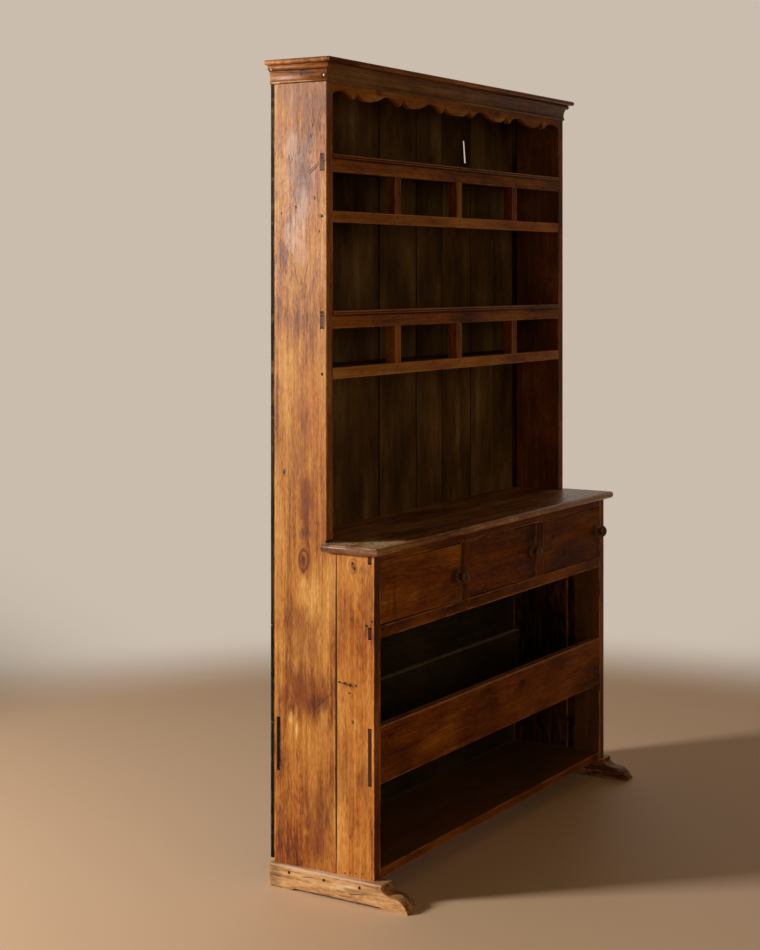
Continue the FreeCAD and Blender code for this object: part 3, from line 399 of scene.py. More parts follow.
# %% [markdown]
# Each board remembers the log it came from: a pith line beside the board, tilted a little from the grain,
# and rings around it. Where a face cuts the rings at a slant, the nested arches of flat-sawn boards
# appear. A board that isn't given a log draws one from its own luck, which its name seeds.

# %% Logs and rings
SWAY = 0.05
UNEVEN_RINGS = 0.8


def own_log(board):
    """A pith line off one of the board's faces, and its tilt across and through the board, in metres."""
    luck = board.luck
    side = luck.choice((-1, 1))
    across, through = board.centre[board.wide_axis], board.centre[board.thin_axis]
    pith = (across + luck.uniform(-0.04, 0.04), through + side * luck.uniform(0.05, 0.1))
    return pith, (luck.uniform(-0.01, 0.01), luck.uniform(0.02, 0.05))


def rings(board, pith, tilt, width):
    """Growth rings: how late a point is in its ring, from 0 to 1, and a random value for each ring."""
    wander = board.noise("wander", output="Color")
    red, green = [wander.node("SeparateColor", {0: wander}, output=name) - 0.5 for name in ("Red", "Green")]
    rise = board.along - board.centre[board.grain_axis]
    across = board.across - pith[0] + red * SWAY + rise * tilt[0]
    through = board.through - pith[1] + green * SWAY + rise * tilt[1]
    radius = (across * across + through * through) ** 0.5
    count = radius / width + (board.noise("ring_width") - 0.5) * UNEVEN_RINGS
    ring = count.math("FLOOR", count)
    chance = ring.node("TexWhiteNoise", {"W": ring + board.seed}, output="Value", noise_dimensions="1D")
    return count - ring, chance


# %% [markdown]
# A finish is a set of colours from the darkest line to the palest, and how strongly rings, streaks, grain,
# flecks, mottling and blotches show through the wax. All the boards of one kind share a finish, and each
# takes its own log and seed, so that no two boards repeat. Worn arrises take a paler colour, which also
# paints the highlights that arrises catch. The first four finishes are of wood that stands in the light:
# the sides, the feet, the crown and the cornice.

# %% Finishes of the boards in the light
FINISHES = {
    "side": dict(stops=stops((62, 24, 8), (126, 66, 24), (184, 116, 44), (216, 155, 74), (238, 196, 126),
                             at=(0.0, 0.24, 0.48, 0.74, 1.0)),
                 ring=0.06, streak=0.55, grain=0.65, fleck=0.5, mottle=0.34, blotch=1.2, red=0.55,
                 wear_and_highlight=0.75, wear_and_highlight_colour=paint(240, 156, 76), width=0.0032, rough=0.43, gloss=0.3),
    "foot": dict(stops=stops((78, 44, 20), (146, 98, 54), (200, 150, 96), (222, 180, 128), (238, 208, 168)),
                 ring=0.14, streak=1.25, grain=0.9, fleck=0.8, mottle=1.0, blotch=1.2, red=0.1,
                 wear_and_highlight=0.5, wear_and_highlight_colour=paint(222, 196, 172), width=0.004, rough=0.5, gloss=0.25),
    "crown": dict(stops=stops((46, 20, 6), (104, 56, 20), (152, 90, 38), (182, 118, 58), (208, 152, 94)),
                  ring=0.12, streak=1.6, grain=0.6, fleck=0.5, mottle=0.8, blotch=1.0, red=0.4,
                  wear_and_highlight=0.5, wear_and_highlight_colour=paint(196, 132, 76), width=0.003, rough=0.42, gloss=0.25),
    "cornice": dict(stops=stops((44, 24, 12), (92, 58, 32), (132, 92, 56), (158, 118, 78), (184, 148, 108)),
                    ring=0.12, streak=1.2, grain=0.3, fleck=0.4, mottle=0.5, blotch=0.9, red=0.6,
                    wear_and_highlight=0.6, wear_and_highlight_colour=paint(168, 138, 104), width=0.003, rough=0.46, gloss=0.2),
}

# %% [markdown]
# The front stands in shade, where its wax keeps a deep red-brown. The rack's rails are worn a little
# paler, and the worktop is greyer and shinier from a long life of wiping.

# %% Finishes of the front
FINISHES.update({
    "front": dict(stops=stops((36, 14, 2), (84, 38, 4), (124, 64, 8), (158, 92, 16), (192, 128, 40)),
                  ring=0.1, streak=0.45, grain=0.4, fleck=0.5, mottle=0.55, blotch=1.35, red=0.25,
                  wear_and_highlight=0.6, wear_and_highlight_colour=paint(190, 134, 92), width=0.004, rough=0.42, gloss=0.06),
    "rack": dict(stops=stops((44, 18, 3), (98, 50, 10), (146, 84, 22), (176, 112, 38), (202, 144, 70)),
                 ring=0.1, streak=0.9, grain=0.4, fleck=0.5, mottle=0.6, blotch=1.4, red=0.45,
                 wear_and_highlight=0.6, wear_and_highlight_colour=paint(196, 138, 92), width=0.004, rough=0.42, gloss=0.15),
    "top": dict(stops=stops((50, 28, 14), (104, 64, 36), (150, 102, 64), (186, 140, 100), (222, 192, 152)),
                ring=0.12, streak=0.9, grain=0.5, fleck=0.7, mottle=1.0, blotch=1.2, red=0.2,
                wear_and_highlight=0.7, wear_and_highlight_colour=paint(208, 158, 124), width=0.004, rough=0.34, gloss=0.35),
})

# %% [markdown]
# Inside the rack and the base the boards were never waxed. They are dull, dark and clouded, and their
# greyer, cooler colours are partly painted shade. Knobs and pegs were turned and split from other wood,
# darker than what is around them.

# %% Finishes of the inside and of small turned pieces
FINISHES.update({
    "inside": dict(stops=stops((24, 15, 6), (66, 46, 22), (98, 72, 38), (126, 98, 58), (160, 130, 90)),
                   ring=0.1, streak=0.3, grain=0.1, fleck=0.3, mottle=0.35, blotch=1.5, red=0.3,
                   wear_and_highlight=0.3, wear_and_highlight_colour=paint(150, 112, 74), width=0.005, rough=0.6, gloss=0.1),
    "base": dict(stops=stops((16, 13, 7), (44, 35, 20), (64, 51, 32), (84, 68, 46), (108, 90, 66)),
                 ring=0.05, streak=0.4, grain=0.1, fleck=0.3, mottle=0.5, blotch=1.0, red=0.0,
                 wear_and_highlight=0.3, wear_and_highlight_colour=paint(128, 116, 88), width=0.005, rough=0.65, gloss=0.08),
    "knob": dict(stops=stops((36, 22, 16), (76, 52, 38), (108, 78, 60), (134, 102, 82), (160, 130, 108)),
                 ring=0.1, streak=0.5, grain=0.2, fleck=0.3, mottle=0.4, blotch=0.5, red=0.0,
                 wear_and_highlight=0.0, wear_and_highlight_colour=paint(140, 116, 96), width=0.003, rough=0.4, gloss=0.3),
    "peg": dict(stops=stops((20, 9, 4), (44, 22, 10), (66, 36, 18), (90, 54, 30), (120, 78, 48)),
                ring=0.1, streak=0.5, grain=0.2, fleck=0.5, mottle=0.5, blotch=0.5, red=0.0,
                wear_and_highlight=0.0, wear_and_highlight_colour=paint(120, 78, 48), width=0.002, rough=0.5, gloss=0.2),
})
print(len(FINISHES), "finishes:", ", ".join(FINISHES))

# %% [markdown]
# The figure of the wood comes first: late wood at the end of each ring, and every kind of noise, centred
# on zero so that it darkens as much as it lightens.

# %% The figure of the wood
LATE_WOOD = (0.3, 0.93)
RING_EDGE = (1.0, 0.94)
RINGS_SHOW, PORES_SHOW = (0.36, 0.62), (0.66, 0.74)


def figure(board, look, log):
    """All that the wood itself shows at a point, as wires with names."""
    pith, tilt = log or own_log(board)
    late, chance = rings(board, pith, tilt, look["width"])
    shown = board.noise("ring_strength").step(*RINGS_SHOW)
    return SimpleNamespace(
        line=late.step(*LATE_WOOD) * late.step(*RING_EDGE) * shown, chance=chance,
        streak=board.noise("streak") - 0.5, fleck=board.noise("fleck") - 0.5,
        mottle=board.noise("mottle") - 0.5, grain=board.noise("grain") - 0.5,
        blotch=board.noise("blotch") - 0.5, pores=board.noise("pores").step(*PORES_SHOW))


# %% [markdown]
# The paleness of a point is one number: 0.5 is the finish's middle tone. The figure moves it up and down,
# end grain is darker, and faces that look away from the light are darkened as painted shade. A wash makes
# an oval of the face paler or darker. A knot is dark in its heart and at its rim, with a paler ring between
# them.

# %% How pale a point is
MIDDLE_TONE = 0.5
RING_CHANCE = 0.05
PORE_DEPTH = 0.1
END_RIM = 2.5 * MM
END_RIM_DEPTH = 0.5
WASH_RAGGED, KNOT_RAGGED = 1.3, 0.5
WASH_FADE = (1.1, 0.1)
# The bands of a knot, each as step() takes it
KNOT_RIM, KNOT_HEART = (1.35, 1.0, 0.0, 0.24), (0.6, 0.3, 0.0, 0.22)
KNOT_RING = (0.95, 0.75, 0.0, 0.17)


def paleness(board, wood, look, edge, tone, end, shades, washes, knots):
    pale = (MIDDLE_TONE + tone - wood.line * look["ring"] + (wood.chance - 0.5) * RING_CHANCE
            + wood.streak * look["streak"] + wood.fleck * look["fleck"] + wood.mottle * look["mottle"]
            + wood.blotch * look["blotch"] - wood.pores * PORE_DEPTH + wood.grain * look["grain"]
            + board.end * end)
    pale = pale - board.end * edge.step(END_RIM, 0.0, 0.0, END_RIM_DEPTH)
    for direction, amount in shades:
        pale = pale + board.faces(direction, amount)
    for *oval, amount in washes:
        pale = pale + board.oval(*oval, ragged=WASH_RAGGED).step(*WASH_FADE, 0.0, amount)
    for knot in knots:
        distance = board.oval(*knot, ragged=KNOT_RAGGED)
        pale = pale - distance.step(*KNOT_RIM) - distance.step(*KNOT_HEART)
        pale = pale + distance.step(*KNOT_RING)
    return pale


# %% [markdown]
# Colour follows from the paleness through the finish's ramp, and some parts of each board are redder. A
# veil lays a tint on all that looks one way, as dust or bleaching does, or as painted shade where a face
# gets little light. A stain lays one on an oval, patchily, because a stain soaks in where the wood is open.

# %% Colour and stains
REDDER = (1.0, 0.74, 0.52, 1)
RED_SHOWS = (0.42, 0.62)
PATCHINESS = (0.3, 0.6, 0.4, 1.0)
STAIN_RAGGED = 1.5
STAIN_FADE = (1.1, 0.4)


def tinted(board, pale, look, veils, stains, stained):
    colour = pale.node("ValToRGB", {0: pale}, stops=look["stops"])
    redness = board.noise("redness").step(*RED_SHOWS, 0.0, look["red"])
    colour = mix(redness, colour, REDDER, "MULTIPLY")
    for direction, amount, tint in veils:
        colour = mix(board.faces(direction, amount), colour, tint)
    patchy = board.noise("patches").step(*PATCHINESS)
    if stained:
        patchy = patchy * board.faces(stained)
    for *oval, amount, tint in stains:
        mask = board.oval(*oval, ragged=STAIN_RAGGED).step(*STAIN_FADE) * patchy * amount
        colour = mix(mask, colour, tint)
    return colour


# %% [markdown]
# Hands and cloths rub the wax off the arrises, here and there, and these paler arrises also stand in for
# painted highlights. Where a rail's tenon comes through the side, its end grain shows, darker than the side
# and rimmed with dirt.

# %% Wear, painted highlights and tenon ends
RUB_AND_HIGHLIGHT_REACH, RUB_AND_HIGHLIGHT_FULL = 4.5 * MM, 1.0 * MM
RUBBED_AND_HIGHLIT_PLACES = (0.36, 0.6)
TENON_RIM, TENON_CLEAN = 2.0 * MM, 4.5 * MM
TENON_TINT = 0.7
HOLE = paint(20, 9, 5)
TENON = paint(86, 54, 46)


def wear_and_highlight(board, colour, look, edge, tenon):
    # Paler arrises here and there: wear, and a painted highlight
    rubbed_and_highlit = edge.step(RUB_AND_HIGHLIGHT_REACH, RUB_AND_HIGHLIGHT_FULL) * board.noise("rubbing_and_highlight").step(*RUBBED_AND_HIGHLIT_PLACES)
    colour = mix(rubbed_and_highlit * look["wear_and_highlight"], colour, look["wear_and_highlight_colour"])
    if tenon:
        colour = mix(board.end * TENON_TINT, colour, TENON)
        colour = mix(board.end * edge.step(TENON_CLEAN, TENON_RIM), colour, HOLE)
    return colour


# %% [markdown]
# Worm holes, cracks and scratches are dark, and they sink into the surface. One distance, to the nearest
# of them, serves them all. Streaks, flecks, pores and rings give the rest of the relief.

# %% Holes, cracks and relief
SPOT_RAGGED = 0.6
HOLE_EDGE = (1.3, 0.8)
HOLE_TINT, HOLE_DEPTH = 0.94, 2.0
STREAK_RELIEF, FLECK_RELIEF, MOTTLE_RELIEF = 0.4, 0.5, 0.3
PORE_RELIEF, LINE_RELIEF = 0.6, 0.2


def marked(board, wood, colour, spots, cracks):
    """The colour with its holes and cracks, and the height that the bump follows."""
    height = (wood.streak * STREAK_RELIEF + wood.fleck * FLECK_RELIEF - wood.pores * PORE_RELIEF
              - wood.line * LINE_RELIEF + wood.mottle * MOTTLE_RELIEF)
    marks = [board.oval(*spot, ragged=SPOT_RAGGED) for spot in spots]
    marks += [board.line(*crack) for crack in cracks]
    if marks:
        nearest = marks[0]
        for mark in marks[1:]:
            nearest = nearest.least(mark)
        mask = nearest.step(*HOLE_EDGE)
        colour = mix(mask * HOLE_TINT, colour, HOLE)
        height = height - mask * HOLE_DEPTH
    return colour, height


# %% [markdown]
# With these steps a board's material is short to write. A mark is an oval: its place across and along
# the board and its two half sizes, and then an amount and a tint where it has them. A crack is its two
# ends and its half width. Places and sizes are millimetres.

# %% The material of a board
EDGE_WANDER = 8 * MM
END_TONE = -0.12
ROUGHER = 0.2
BUMP_STRENGTH, BUMP_DEPTH = 0.5, 0.4 * MM


def timber(node, finish, grain, tone=0.0, log=None, knots=(), washes=(), stains=(), spots=(), cracks=(),
           end=END_TONE, shades=(), veils=(), stained=None, tenon=False):
    """Give a board its material. Stains show on every face, or only on the one that stained names."""
    material, tree, shader, place = new_material(node + "_wood")
    look = FINISHES[finish]
    board = Board(node, tree, place, grain, knots)
    wood = figure(board, look, log)
    edge = board.arris() + board.wobble * EDGE_WANDER
    pale = paleness(board, wood, look, edge, tone, end, shades, washes, knots)
    colour = tinted(board, pale, look, veils, stains, stained)
    colour = wear_and_highlight(board, colour, look, edge, tenon)
    colour, height = marked(board, wood, colour, spots, cracks)
    plug(colour, shader, "Base Color")
    rough = look["rough"] - wood.streak * ROUGHER + wood.blotch * ROUGHER + wood.pores * ROUGHER
    plug(rough, shader, "Roughness")
    shader.inputs["Specular IOR Level"].default_value = look["gloss"]
    bump = tree.node("Bump", {"Height": height, "Strength": BUMP_STRENGTH, "Distance": BUMP_DEPTH})
    plug(bump, shader, "Normal")
    nodes[node].data.materials.clear()
    nodes[node].data.materials.append(material)


# %% [markdown]
# First the marks of the left side, which faces the light and shows them all. Stains come from a small
# set of colours: rust-brown where wax has gathered, umber where it is dirty, and pale ones where light
# and water have bleached the wood, where a sheen and highlights are painted in, or where dust lies. The
# inner faces and front edges get less light, so they are darkened as painted shade.

# %% Stains and shades
RUSSET = paint(118, 50, 18)
UMBER = paint(70, 36, 20)
SMUDGE = paint(48, 20, 6)
HONEY = paint(232, 166, 86)
# Chalky dust, and on the left foot's upper arris a painted highlight too
CHALK_AND_HIGHLIGHT = paint(226, 202, 184)
BLEACH_AND_SHEEN = paint(228, 194, 180)
BEIGE = paint(216, 192, 150)
GREY_SHEEN = paint(146, 98, 76)
DUST = paint(132, 116, 82)
# Painted highlights along arrises
ARRIS_HIGHLIGHT = paint(200, 146, 104)
TO_LEFT, TO_RIGHT, TO_FRONT, UP, DOWN = ("X", -1), ("X", 1), ("Y", -1), ("Z", 1), ("Z", -1)
# Painted shade on the right side's inner face and front edges
RIGHT_SHADES = [(TO_LEFT, -0.22), (TO_FRONT, -0.26)]
SEAM = place_of("left_side_board")[0].y
SEAM_FOOT, SEAM_HEAD = 40, place_of("worktop")[1].z
SEAM_LINE = ((SEAM, SEAM_FOOT), (SEAM, SEAM_HEAD))
MARKS = {}
print("the seam between the two side boards is", round(SEAM), "mm from the front")

# %% [markdown]
# The tall board has a red-brown knot under the worktop's level, a curl of grain low down, worm holes and
# a bleached, worn place near the top, with a painted sheen over it. Splits run back and down from the upper
# gallery's tenon, thin cracks outline a tongue of loose wood under the bleached place, and fine lines show
# the cheeks of both tenons.

# %% Washes of the tall left board
TALL_WASHES = [
    # A paler rear edge, and darker low down
    (262, 1800, 26, 170, 0.14), (262, 1300, 24, 330, 0.14), (205, 600, 150, 150, -0.08),
    (200, 130, 120, 130, -0.12),
    # Dark dabs beside the bleached place, and the paler wood above it
    (203, 1777, 13, 22, -0.2), (290, 1744, 8, 22, -0.3), (290, 1578, 6, 18, -0.3),
    (205, 1840, 26, 60, 0.14),
    # Long dark streaks
    (199, 1337, 14, 60, -0.1), (196, 1430, 5, 120, -0.12), (259, 1120, 2, 80, -0.22),
    (185, 1180, 4, 110, -0.2),
    # Pale wood under the large knot
    (214, 734, 26, 50, 0.18), (206, 770, 16, 22, 0.16),
    # Bright flames in the curl and above the foot
    (244, 428, 9, 26, 0.34), (226, 407, 6, 28, 0.4), (199, 198, 6, 18, 0.34), (199, 148, 9, 12, 0.3),
    # Dark hollows of the curl
    (175, 453, 26, 46, -0.2), (130, 420, 14, 60, -0.2),
    # Over the large knot, a broad stretch of painted light under the bleached place, and the curl's shade
    (206, 878, 22, 12, 0.14), (200, 1560, 120, 140, 0.3), (235, 450, 8, 24, -0.3),
    (205, 495, 90, 76, -0.14),
]
print(len(TALL_WASHES), "washes")

# %% Stains of the tall left board
TALL_STAINS = [
    # The greyed top and the bleached place, both with a painted sheen
    (205, 2005, 120, 80, 0.75, GREY_SHEEN), (225, 1770, 70, 150, 0.2, BLEACH_AND_SHEEN),
    (240, 1862, 22, 46, 0.4, BLEACH_AND_SHEEN), (209, 1706, 17, 80, 0.5, BLEACH_AND_SHEEN),
    (236, 1642, 32, 56, 0.5, BLEACH_AND_SHEEN), (212, 1590, 22, 46, 0.3, BLEACH_AND_SHEEN),
    # Red-brown wax around it
    (172, 1950, 46, 60, 0.5, RUSSET), (200, 1790, 16, 40, 0.5, RUSSET), (196, 1650, 8, 70, 0.3, RUSSET),
    # Down the middle to the large knot
    (205, 1214, 18, 90, 0.34, RUSSET), (217, 1114, 30, 80, 0.42, RUSSET), (200, 977, 28, 80, 0.6, RUSSET),
    (202, 890, 26, 22, 0.6, UMBER), (206, 827, 17, 30, 0.3, RUSSET),
    # The curl of grain and the foot of the board
    (212, 640, 60, 100, 0.5, RUSSET), (205, 500, 90, 80, 0.75, RUSSET), (165, 468, 36, 30, 0.5, UMBER),
    (262, 470, 22, 60, 0.6, RUSSET), (165, 165, 52, 120, 0.65, RUSSET), (140, 205, 24, 50, 0.5, UMBER),
]
print(len(TALL_STAINS), "stains")

# %% Worm holes and cracks of the tall left board
TALL_SPOTS = [
    (173, 1731.6, 2.4, 4.5), (229.3, 1709.8, 2.4, 3.5), (179.2, 1913.7, 2.2, 4), (184, 1887, 2, 5),
    (272.6, 1694.8, 2, 3), (158.7, 1648, 2, 3), (140, 878, 2, 3), (149, 869, 2, 3),
    (264.7, 1043, 2.6, 5), (109, 318, 4, 7),
]
SPLITS = [((187, 1793), (159, 1815), 1.5), ((189, 1799), (160, 1820), 0.9), ((151, 1816), (140, 1826), 1.4)]
TONGUE = [((205, 1518), (193, 1570), 0.4), ((205, 1518), (223, 1516), 0.4), ((223, 1516), (236, 1570), 0.4)]
SCRATCH = ((181, 450), (125, 502), 0.7)
TOP_RAILS = ("lower_gallery_top_rail", "upper_gallery_top_rail")
CHEEK_PLACES = (144, 156.5)
CHEEKS = [((cheek, place_of(rail)[0].z - 1), (cheek, place_of(rail)[1].z + 1), 0.8)
          for cheek in CHEEK_PLACES for rail in TOP_RAILS]

MARKS["left_side_board"] = dict(
    # Painted shade on the inner face and the front edge
    log=((0.214, 0.075), (0.0, 0.045)), shades=[(TO_RIGHT, -0.26), (TO_FRONT, -0.12)],
    knots=[(206, 827, 13, 26), (264.7, 1043, 4, 9), (244, 458, 6, 12), (157, 1687, 4, 5)],
    washes=TALL_WASHES, stains=TALL_STAINS, spots=TALL_SPOTS,
    cracks=[(*SEAM_LINE, 3.2), *SPLITS, *TONGUE, SCRATCH, *CHEEKS])
print(len(MARKS["left_side_board"]["cracks"]), "cracks, scratches and cheeks")

# %% [markdown]
# The short board in front of it has one knot near its top, a row of small holes along a crack, and four
# nail holes just above the foot.

# %% Marks of the short left board
MARKS["left_front_side_board"] = dict(
    # Painted shade on the inner face and the front edge
    log=((0.046, 0.08), (0.0, 0.09)), shades=[(TO_RIGHT, -0.26), (TO_FRONT, -0.38)],
    knots=[(60.5, 824, 11, 18)],
    washes=[(52, 741, 10, 50, 0.2), (40, 300, 12, 60, -0.18), (46, 150, 40, 60, 0.1),
            (70, 600, 24, 140, 0.08), (52, 402, 4, 24, -0.16), (80, 130, 10, 80, 0.14),
            (76, 824, 6, 24, 0.2), (60, 790, 60, 110, 0.2)],
    stains=[(34, 816, 14, 16, 0.5, RUSSET), (60, 824, 11, 16, 0.4, UMBER), (70, 531, 32, 8, 0.5, UMBER),
            (23, 300, 16, 80, 0.45, RUSSET), (90, 300, 10, 60, 0.3, RUSSET),
            (60, 760, 16, 50, 0.3, HONEY), (90, 491, 4, 9, 0.6, UMBER)],
    spots=[(62, 830, 3, 4), (56, 817, 2.5, 4), (100, 534, 4, 2.5), (84, 533, 4, 3), (68, 530, 4, 3.5),
           (52, 530, 3, 2), (71, 510, 3, 2), (60, 440, 2, 5), (21, 680, 4, 3), (5, 692, 2, 3),
           (84, 65, 2, 2), (69, 68, 2, 2), (52, 69, 2, 2), (35, 71, 2, 2)],
    cracks=[(*SEAM_LINE, 3.0), ((104, 534), (60, 528), 1.2)])
print(len(MARKS["left_front_side_board"]["spots"]), "holes")

# %% [markdown]
# The other boards take fewer marks. On a board whose grain runs left to right, a place is its height or
# depth first, and then its distance from the left side. Hands have darkened the doors around the knobs,
# and the third door and the deep board across the base have knots.

# %% Marks of the doors and the front boards
MARKS["door_1"] = dict(
    washes=[(706, 330, 22, 100, 0.22), (736, 100, 60, 14, -0.2), (800, 200, 20, 120, -0.1),
            (720, 190, 40, 60, 0.12)],
    stains=[(744, 408, 30, 24, 0.7, SMUDGE), (728, 70, 34, 14, 0.4, SMUDGE)])
MARKS["door_2"] = dict(
    washes=[(700, 700, 26, 160, 0.08), (790, 600, 24, 130, -0.08)],
    stains=[(752, 850, 30, 22, 0.6, SMUDGE)])
MARKS["door_3"] = dict(
    knots=[(777, 1003.5, 6, 8), (725, 1077.7, 8, 10)],
    stains=[(760, 1290, 30, 20, 0.6, SMUDGE), (777, 1003.5, 12, 14, 0.6, SMUDGE),
            (725, 1077.7, 16, 14, 0.6, SMUDGE)])
MARKS["front_board"] = dict(
    knots=[(388, 800.6, 10, 14)],
    washes=[(384, 120, 30, 110, 0.16), (452, 200, 20, 90, 0.16), (340, 330, 30, 160, 0.1)],
    stains=[(388, 800.6, 18, 26, 0.55, SMUDGE), (360, 1000, 60, 300, 0.3, RUSSET),
            # A painted highlight along the top arris
            (place_of("front_board")[1].z - 2, HALF, 3.5, FULL, 0.6, ARRIS_HIGHLIGHT)])
MARKS["bank_bottom_rail"] = dict(
    # A painted highlight along the lower arris
    stains=[(place_of("bank_bottom_rail")[0].z + 2, 800, 3, 400, 0.5, ARRIS_HIGHLIGHT)])
print(len(MARKS), "boards have marks of their own")

# %% [markdown]
# In the open base, dust lies on the rear rail and along the back and the right end of the shelf, and the
# shelf's front edge is painted a little paler where the light catches it. The inner faces of the right side,
# which the light doesn't reach, are painted dull and dark as shade, darkest low down. A dark line runs down
# its rear corner. The left ends of the back boards are dark too.

# %% Marks inside the base and on the right side
MARKS["rear_rail"] = dict(
    veils=[(UP, 0.95, CHALK_AND_HIGHLIGHT)],
    stains=[(place_of("rear_rail")[1].z - 1, HALF, 3, FULL, 0.8, DUST)])
# The shelf's front edge is a little paler: painted light where it is lit
MARKS["bottom_shelf"] = dict(
    stains=[(294, HALF, 11, 1500, 0.8, DUST), (60, 1324, 900, 12, 0.9, DUST)],
    veils=[(UP, 0.6, paint(112, 86, 62))], shades=[(TO_FRONT, 0.06)])
# Painted shade: the right side's inner faces are dulled and darkened, darkest low down
MARKS["right_side_board"] = dict(
    shades=RIGHT_SHADES, veils=[(TO_LEFT, 0.5, paint(104, 66, 42))], stained=TO_LEFT,
    stains=[(200, 330, 150, 500, 1.0, paint(30, 24, 14))], cracks=[((289, 680), (289, 2060), 5.0)])
# Painted shade: dulled and darkened inner face, with a dark band low down
MARKS["right_front_side_board"] = dict(
    shades=RIGHT_SHADES, veils=[(TO_LEFT, 0.6, paint(124, 90, 56))], stained=TO_LEFT,
    stains=[(98, 350, 18, 900, 1.0, paint(30, 26, 16))])
for board_name in ("back_board_upper", "back_board_lower"):
    MARKS[board_name] = dict(shades=[(TO_LEFT, -0.5)])

# %% [markdown]
# The worktop's left end is scrubbed nearly white and pitted with small dents, which are scattered by a
# seeded draw; its paleness there is also a painted pool of the light that falls past the left side. Its end
# grain stays dark, and its underside is darkened as painted shade.

# %% Marks of the worktop
luck = random.Random(11)
DENTS = [(luck.uniform(-20, 110), luck.uniform(-18, 110), luck.uniform(1, 2.6), luck.uniform(2, 7))
         for _ in range(26)]
MARKS["worktop"] = dict(
    # Painted shade underneath; the pale left end is wear and a painted pool of light
    stained=UP, shades=[(DOWN, -0.1)], veils=[(TO_LEFT, 0.6, paint(104, 54, 38))],
    washes=[(60, 75, 110, 110, 0.25), (135, 1290, 60, 60, 0.3), (150, 500, 90, 300, -0.06)],
    stains=[(8, 62, 60, 86, 1.0, BEIGE), (110, 20, 60, 40, 0.8, BEIGE), (130, 1290, 40, 70, 0.6, BEIGE),
            (-14, 537, 8, 16, 0.8, SMUDGE)],
    spots=DENTS, cracks=[((126, 1290), (118, 1372), 1.4)])
print(len(DENTS), "dents in the worktop")

# %% [markdown]
# The back's planks have shrunk apart, and a dark line shows at each joint that has opened. A wider dark
# band runs down the corner beside the right side. The first plank's edge, beside the left side, is nicked
# and uneven. Some planks have a paler streak.

# %% Marks of the back
BACK_FOOT, BACK_HEAD = 640, 2080
OPEN_JOINTS = {"back_plank_3": 5.0, "back_plank_4": 3.0, "back_plank_5": 1.6, "back_plank_6": 1.6}
for plank, half_width in OPEN_JOINTS.items():
    joint = place_of(plank)[0].x + 1
    MARKS[plank] = dict(cracks=[((joint, BACK_FOOT), (joint, BACK_HEAD), half_width)])
# A wider dark band down the corner beside the right side
last_joint = place_of("right_side_board")[0].x - 5
MARKS["back_plank_7"] = dict(cracks=[((last_joint, BACK_FOOT), (last_joint, BACK_HEAD), 7.0)])
NICKS = [(1, luck.uniform(1080, 2040), 5, luck.uniform(4, 22), luck.uniform(0.1, 0.4)) for _ in range(20)]
MARKS["back_plank_1"] = dict(shades=[(TO_LEFT, -0.45)], washes=NICKS + [(120, 1500, 40, 300, 0.1)])
MARKS["back_plank_2"] = dict(washes=[(330, 1560, 30, 90, 0.24), (340, 1900, 40, 90, 0.1)])
MARKS["back_plank_5"]["washes"] = [(960, 1100, 22, 180, 0.24)]
MARKS["back_plank_6"]["washes"] = [(1090, 1150, 20, 260, 0.2)]
print(len(OPEN_JOINTS) + 1, "open joints in the back")

# %% [markdown]
# The valance has one knot. The left foot is dirty at its ends, and along its upper arris it is worn pale and
# has a painted highlight. On the left return of the cornice, dark lines and marks sit in the quirks of the
# moulding and chalky dust on its lower edge. The galleries' top rails have a lip, with painted highlights on
# its crests and dark lines in the quirks beneath.

# %% Marks of the mouldings, the feet and the galleries
MARKS["valance"] = dict(knots=[(2008.5, 921.6, 7, 14)], washes=[(2012.5, 252.9, 14, 22, -0.4)])
MARKS["left_shoe_foot"] = dict(
    stains=[(30, 285, 34, 26, 0.6, UMBER), (2, 100, 10, 220, 0.5, UMBER), (57, 110, 3, 190, 0.9, CHALK_AND_HIGHLIGHT),
            (32, 40, 8, 60, 0.4, UMBER)],
    cracks=[((40, 200), (44, 160), 0.8), ((22, 60), (30, 10), 0.8)])
MARKS["cornice_left"] = dict(
    stains=[(2038, 143, 10, 12, 0.7, UMBER), (2044, 220, 3, 70, 0.5, HOLE), (2023, 285, 2, 16, 0.9, CHALK_AND_HIGHLIGHT),
            (2024, 200, 1.5, 30, 0.6, CHALK_AND_HIGHLIGHT)],
    spots=[(2041, 210, 3, 3), (2051, 206, 2, 8)],
    cracks=[((2052.5, 90), (2052.5, 340), 1.3), ((2021.5, 90), (2021.5, 340), 1.0)])
PAST_END = 200
for rail in TOP_RAILS:
    crest = place_of(rail)[1].z
    MARKS[rail] = dict(
        stains=[(crest - 1.5, HALF, 2.4, FULL, 0.8, ARRIS_HIGHLIGHT),
                (crest - 7.5, HALF, 1.6, FULL, 0.5, ARRIS_HIGHLIGHT)],
        cracks=[((crest - drop, -PAST_END), (crest - drop, FULL + PAST_END), half_width)
                for drop, half_width in ((5, 1.0), (11, 1.4))])
print(len(MARKS), "boards have marks of their own")

# %% [markdown]
# Now every board gets the finish of its kind. The tables below go by words in the boards' names, and the
# first word that is found decides. A tone makes a board paler or darker than its finish, because no two
# boards of an old cupboard are alike. Grain runs along a board: up the sides and planks, front to back in
# the feet, and across in the rest.

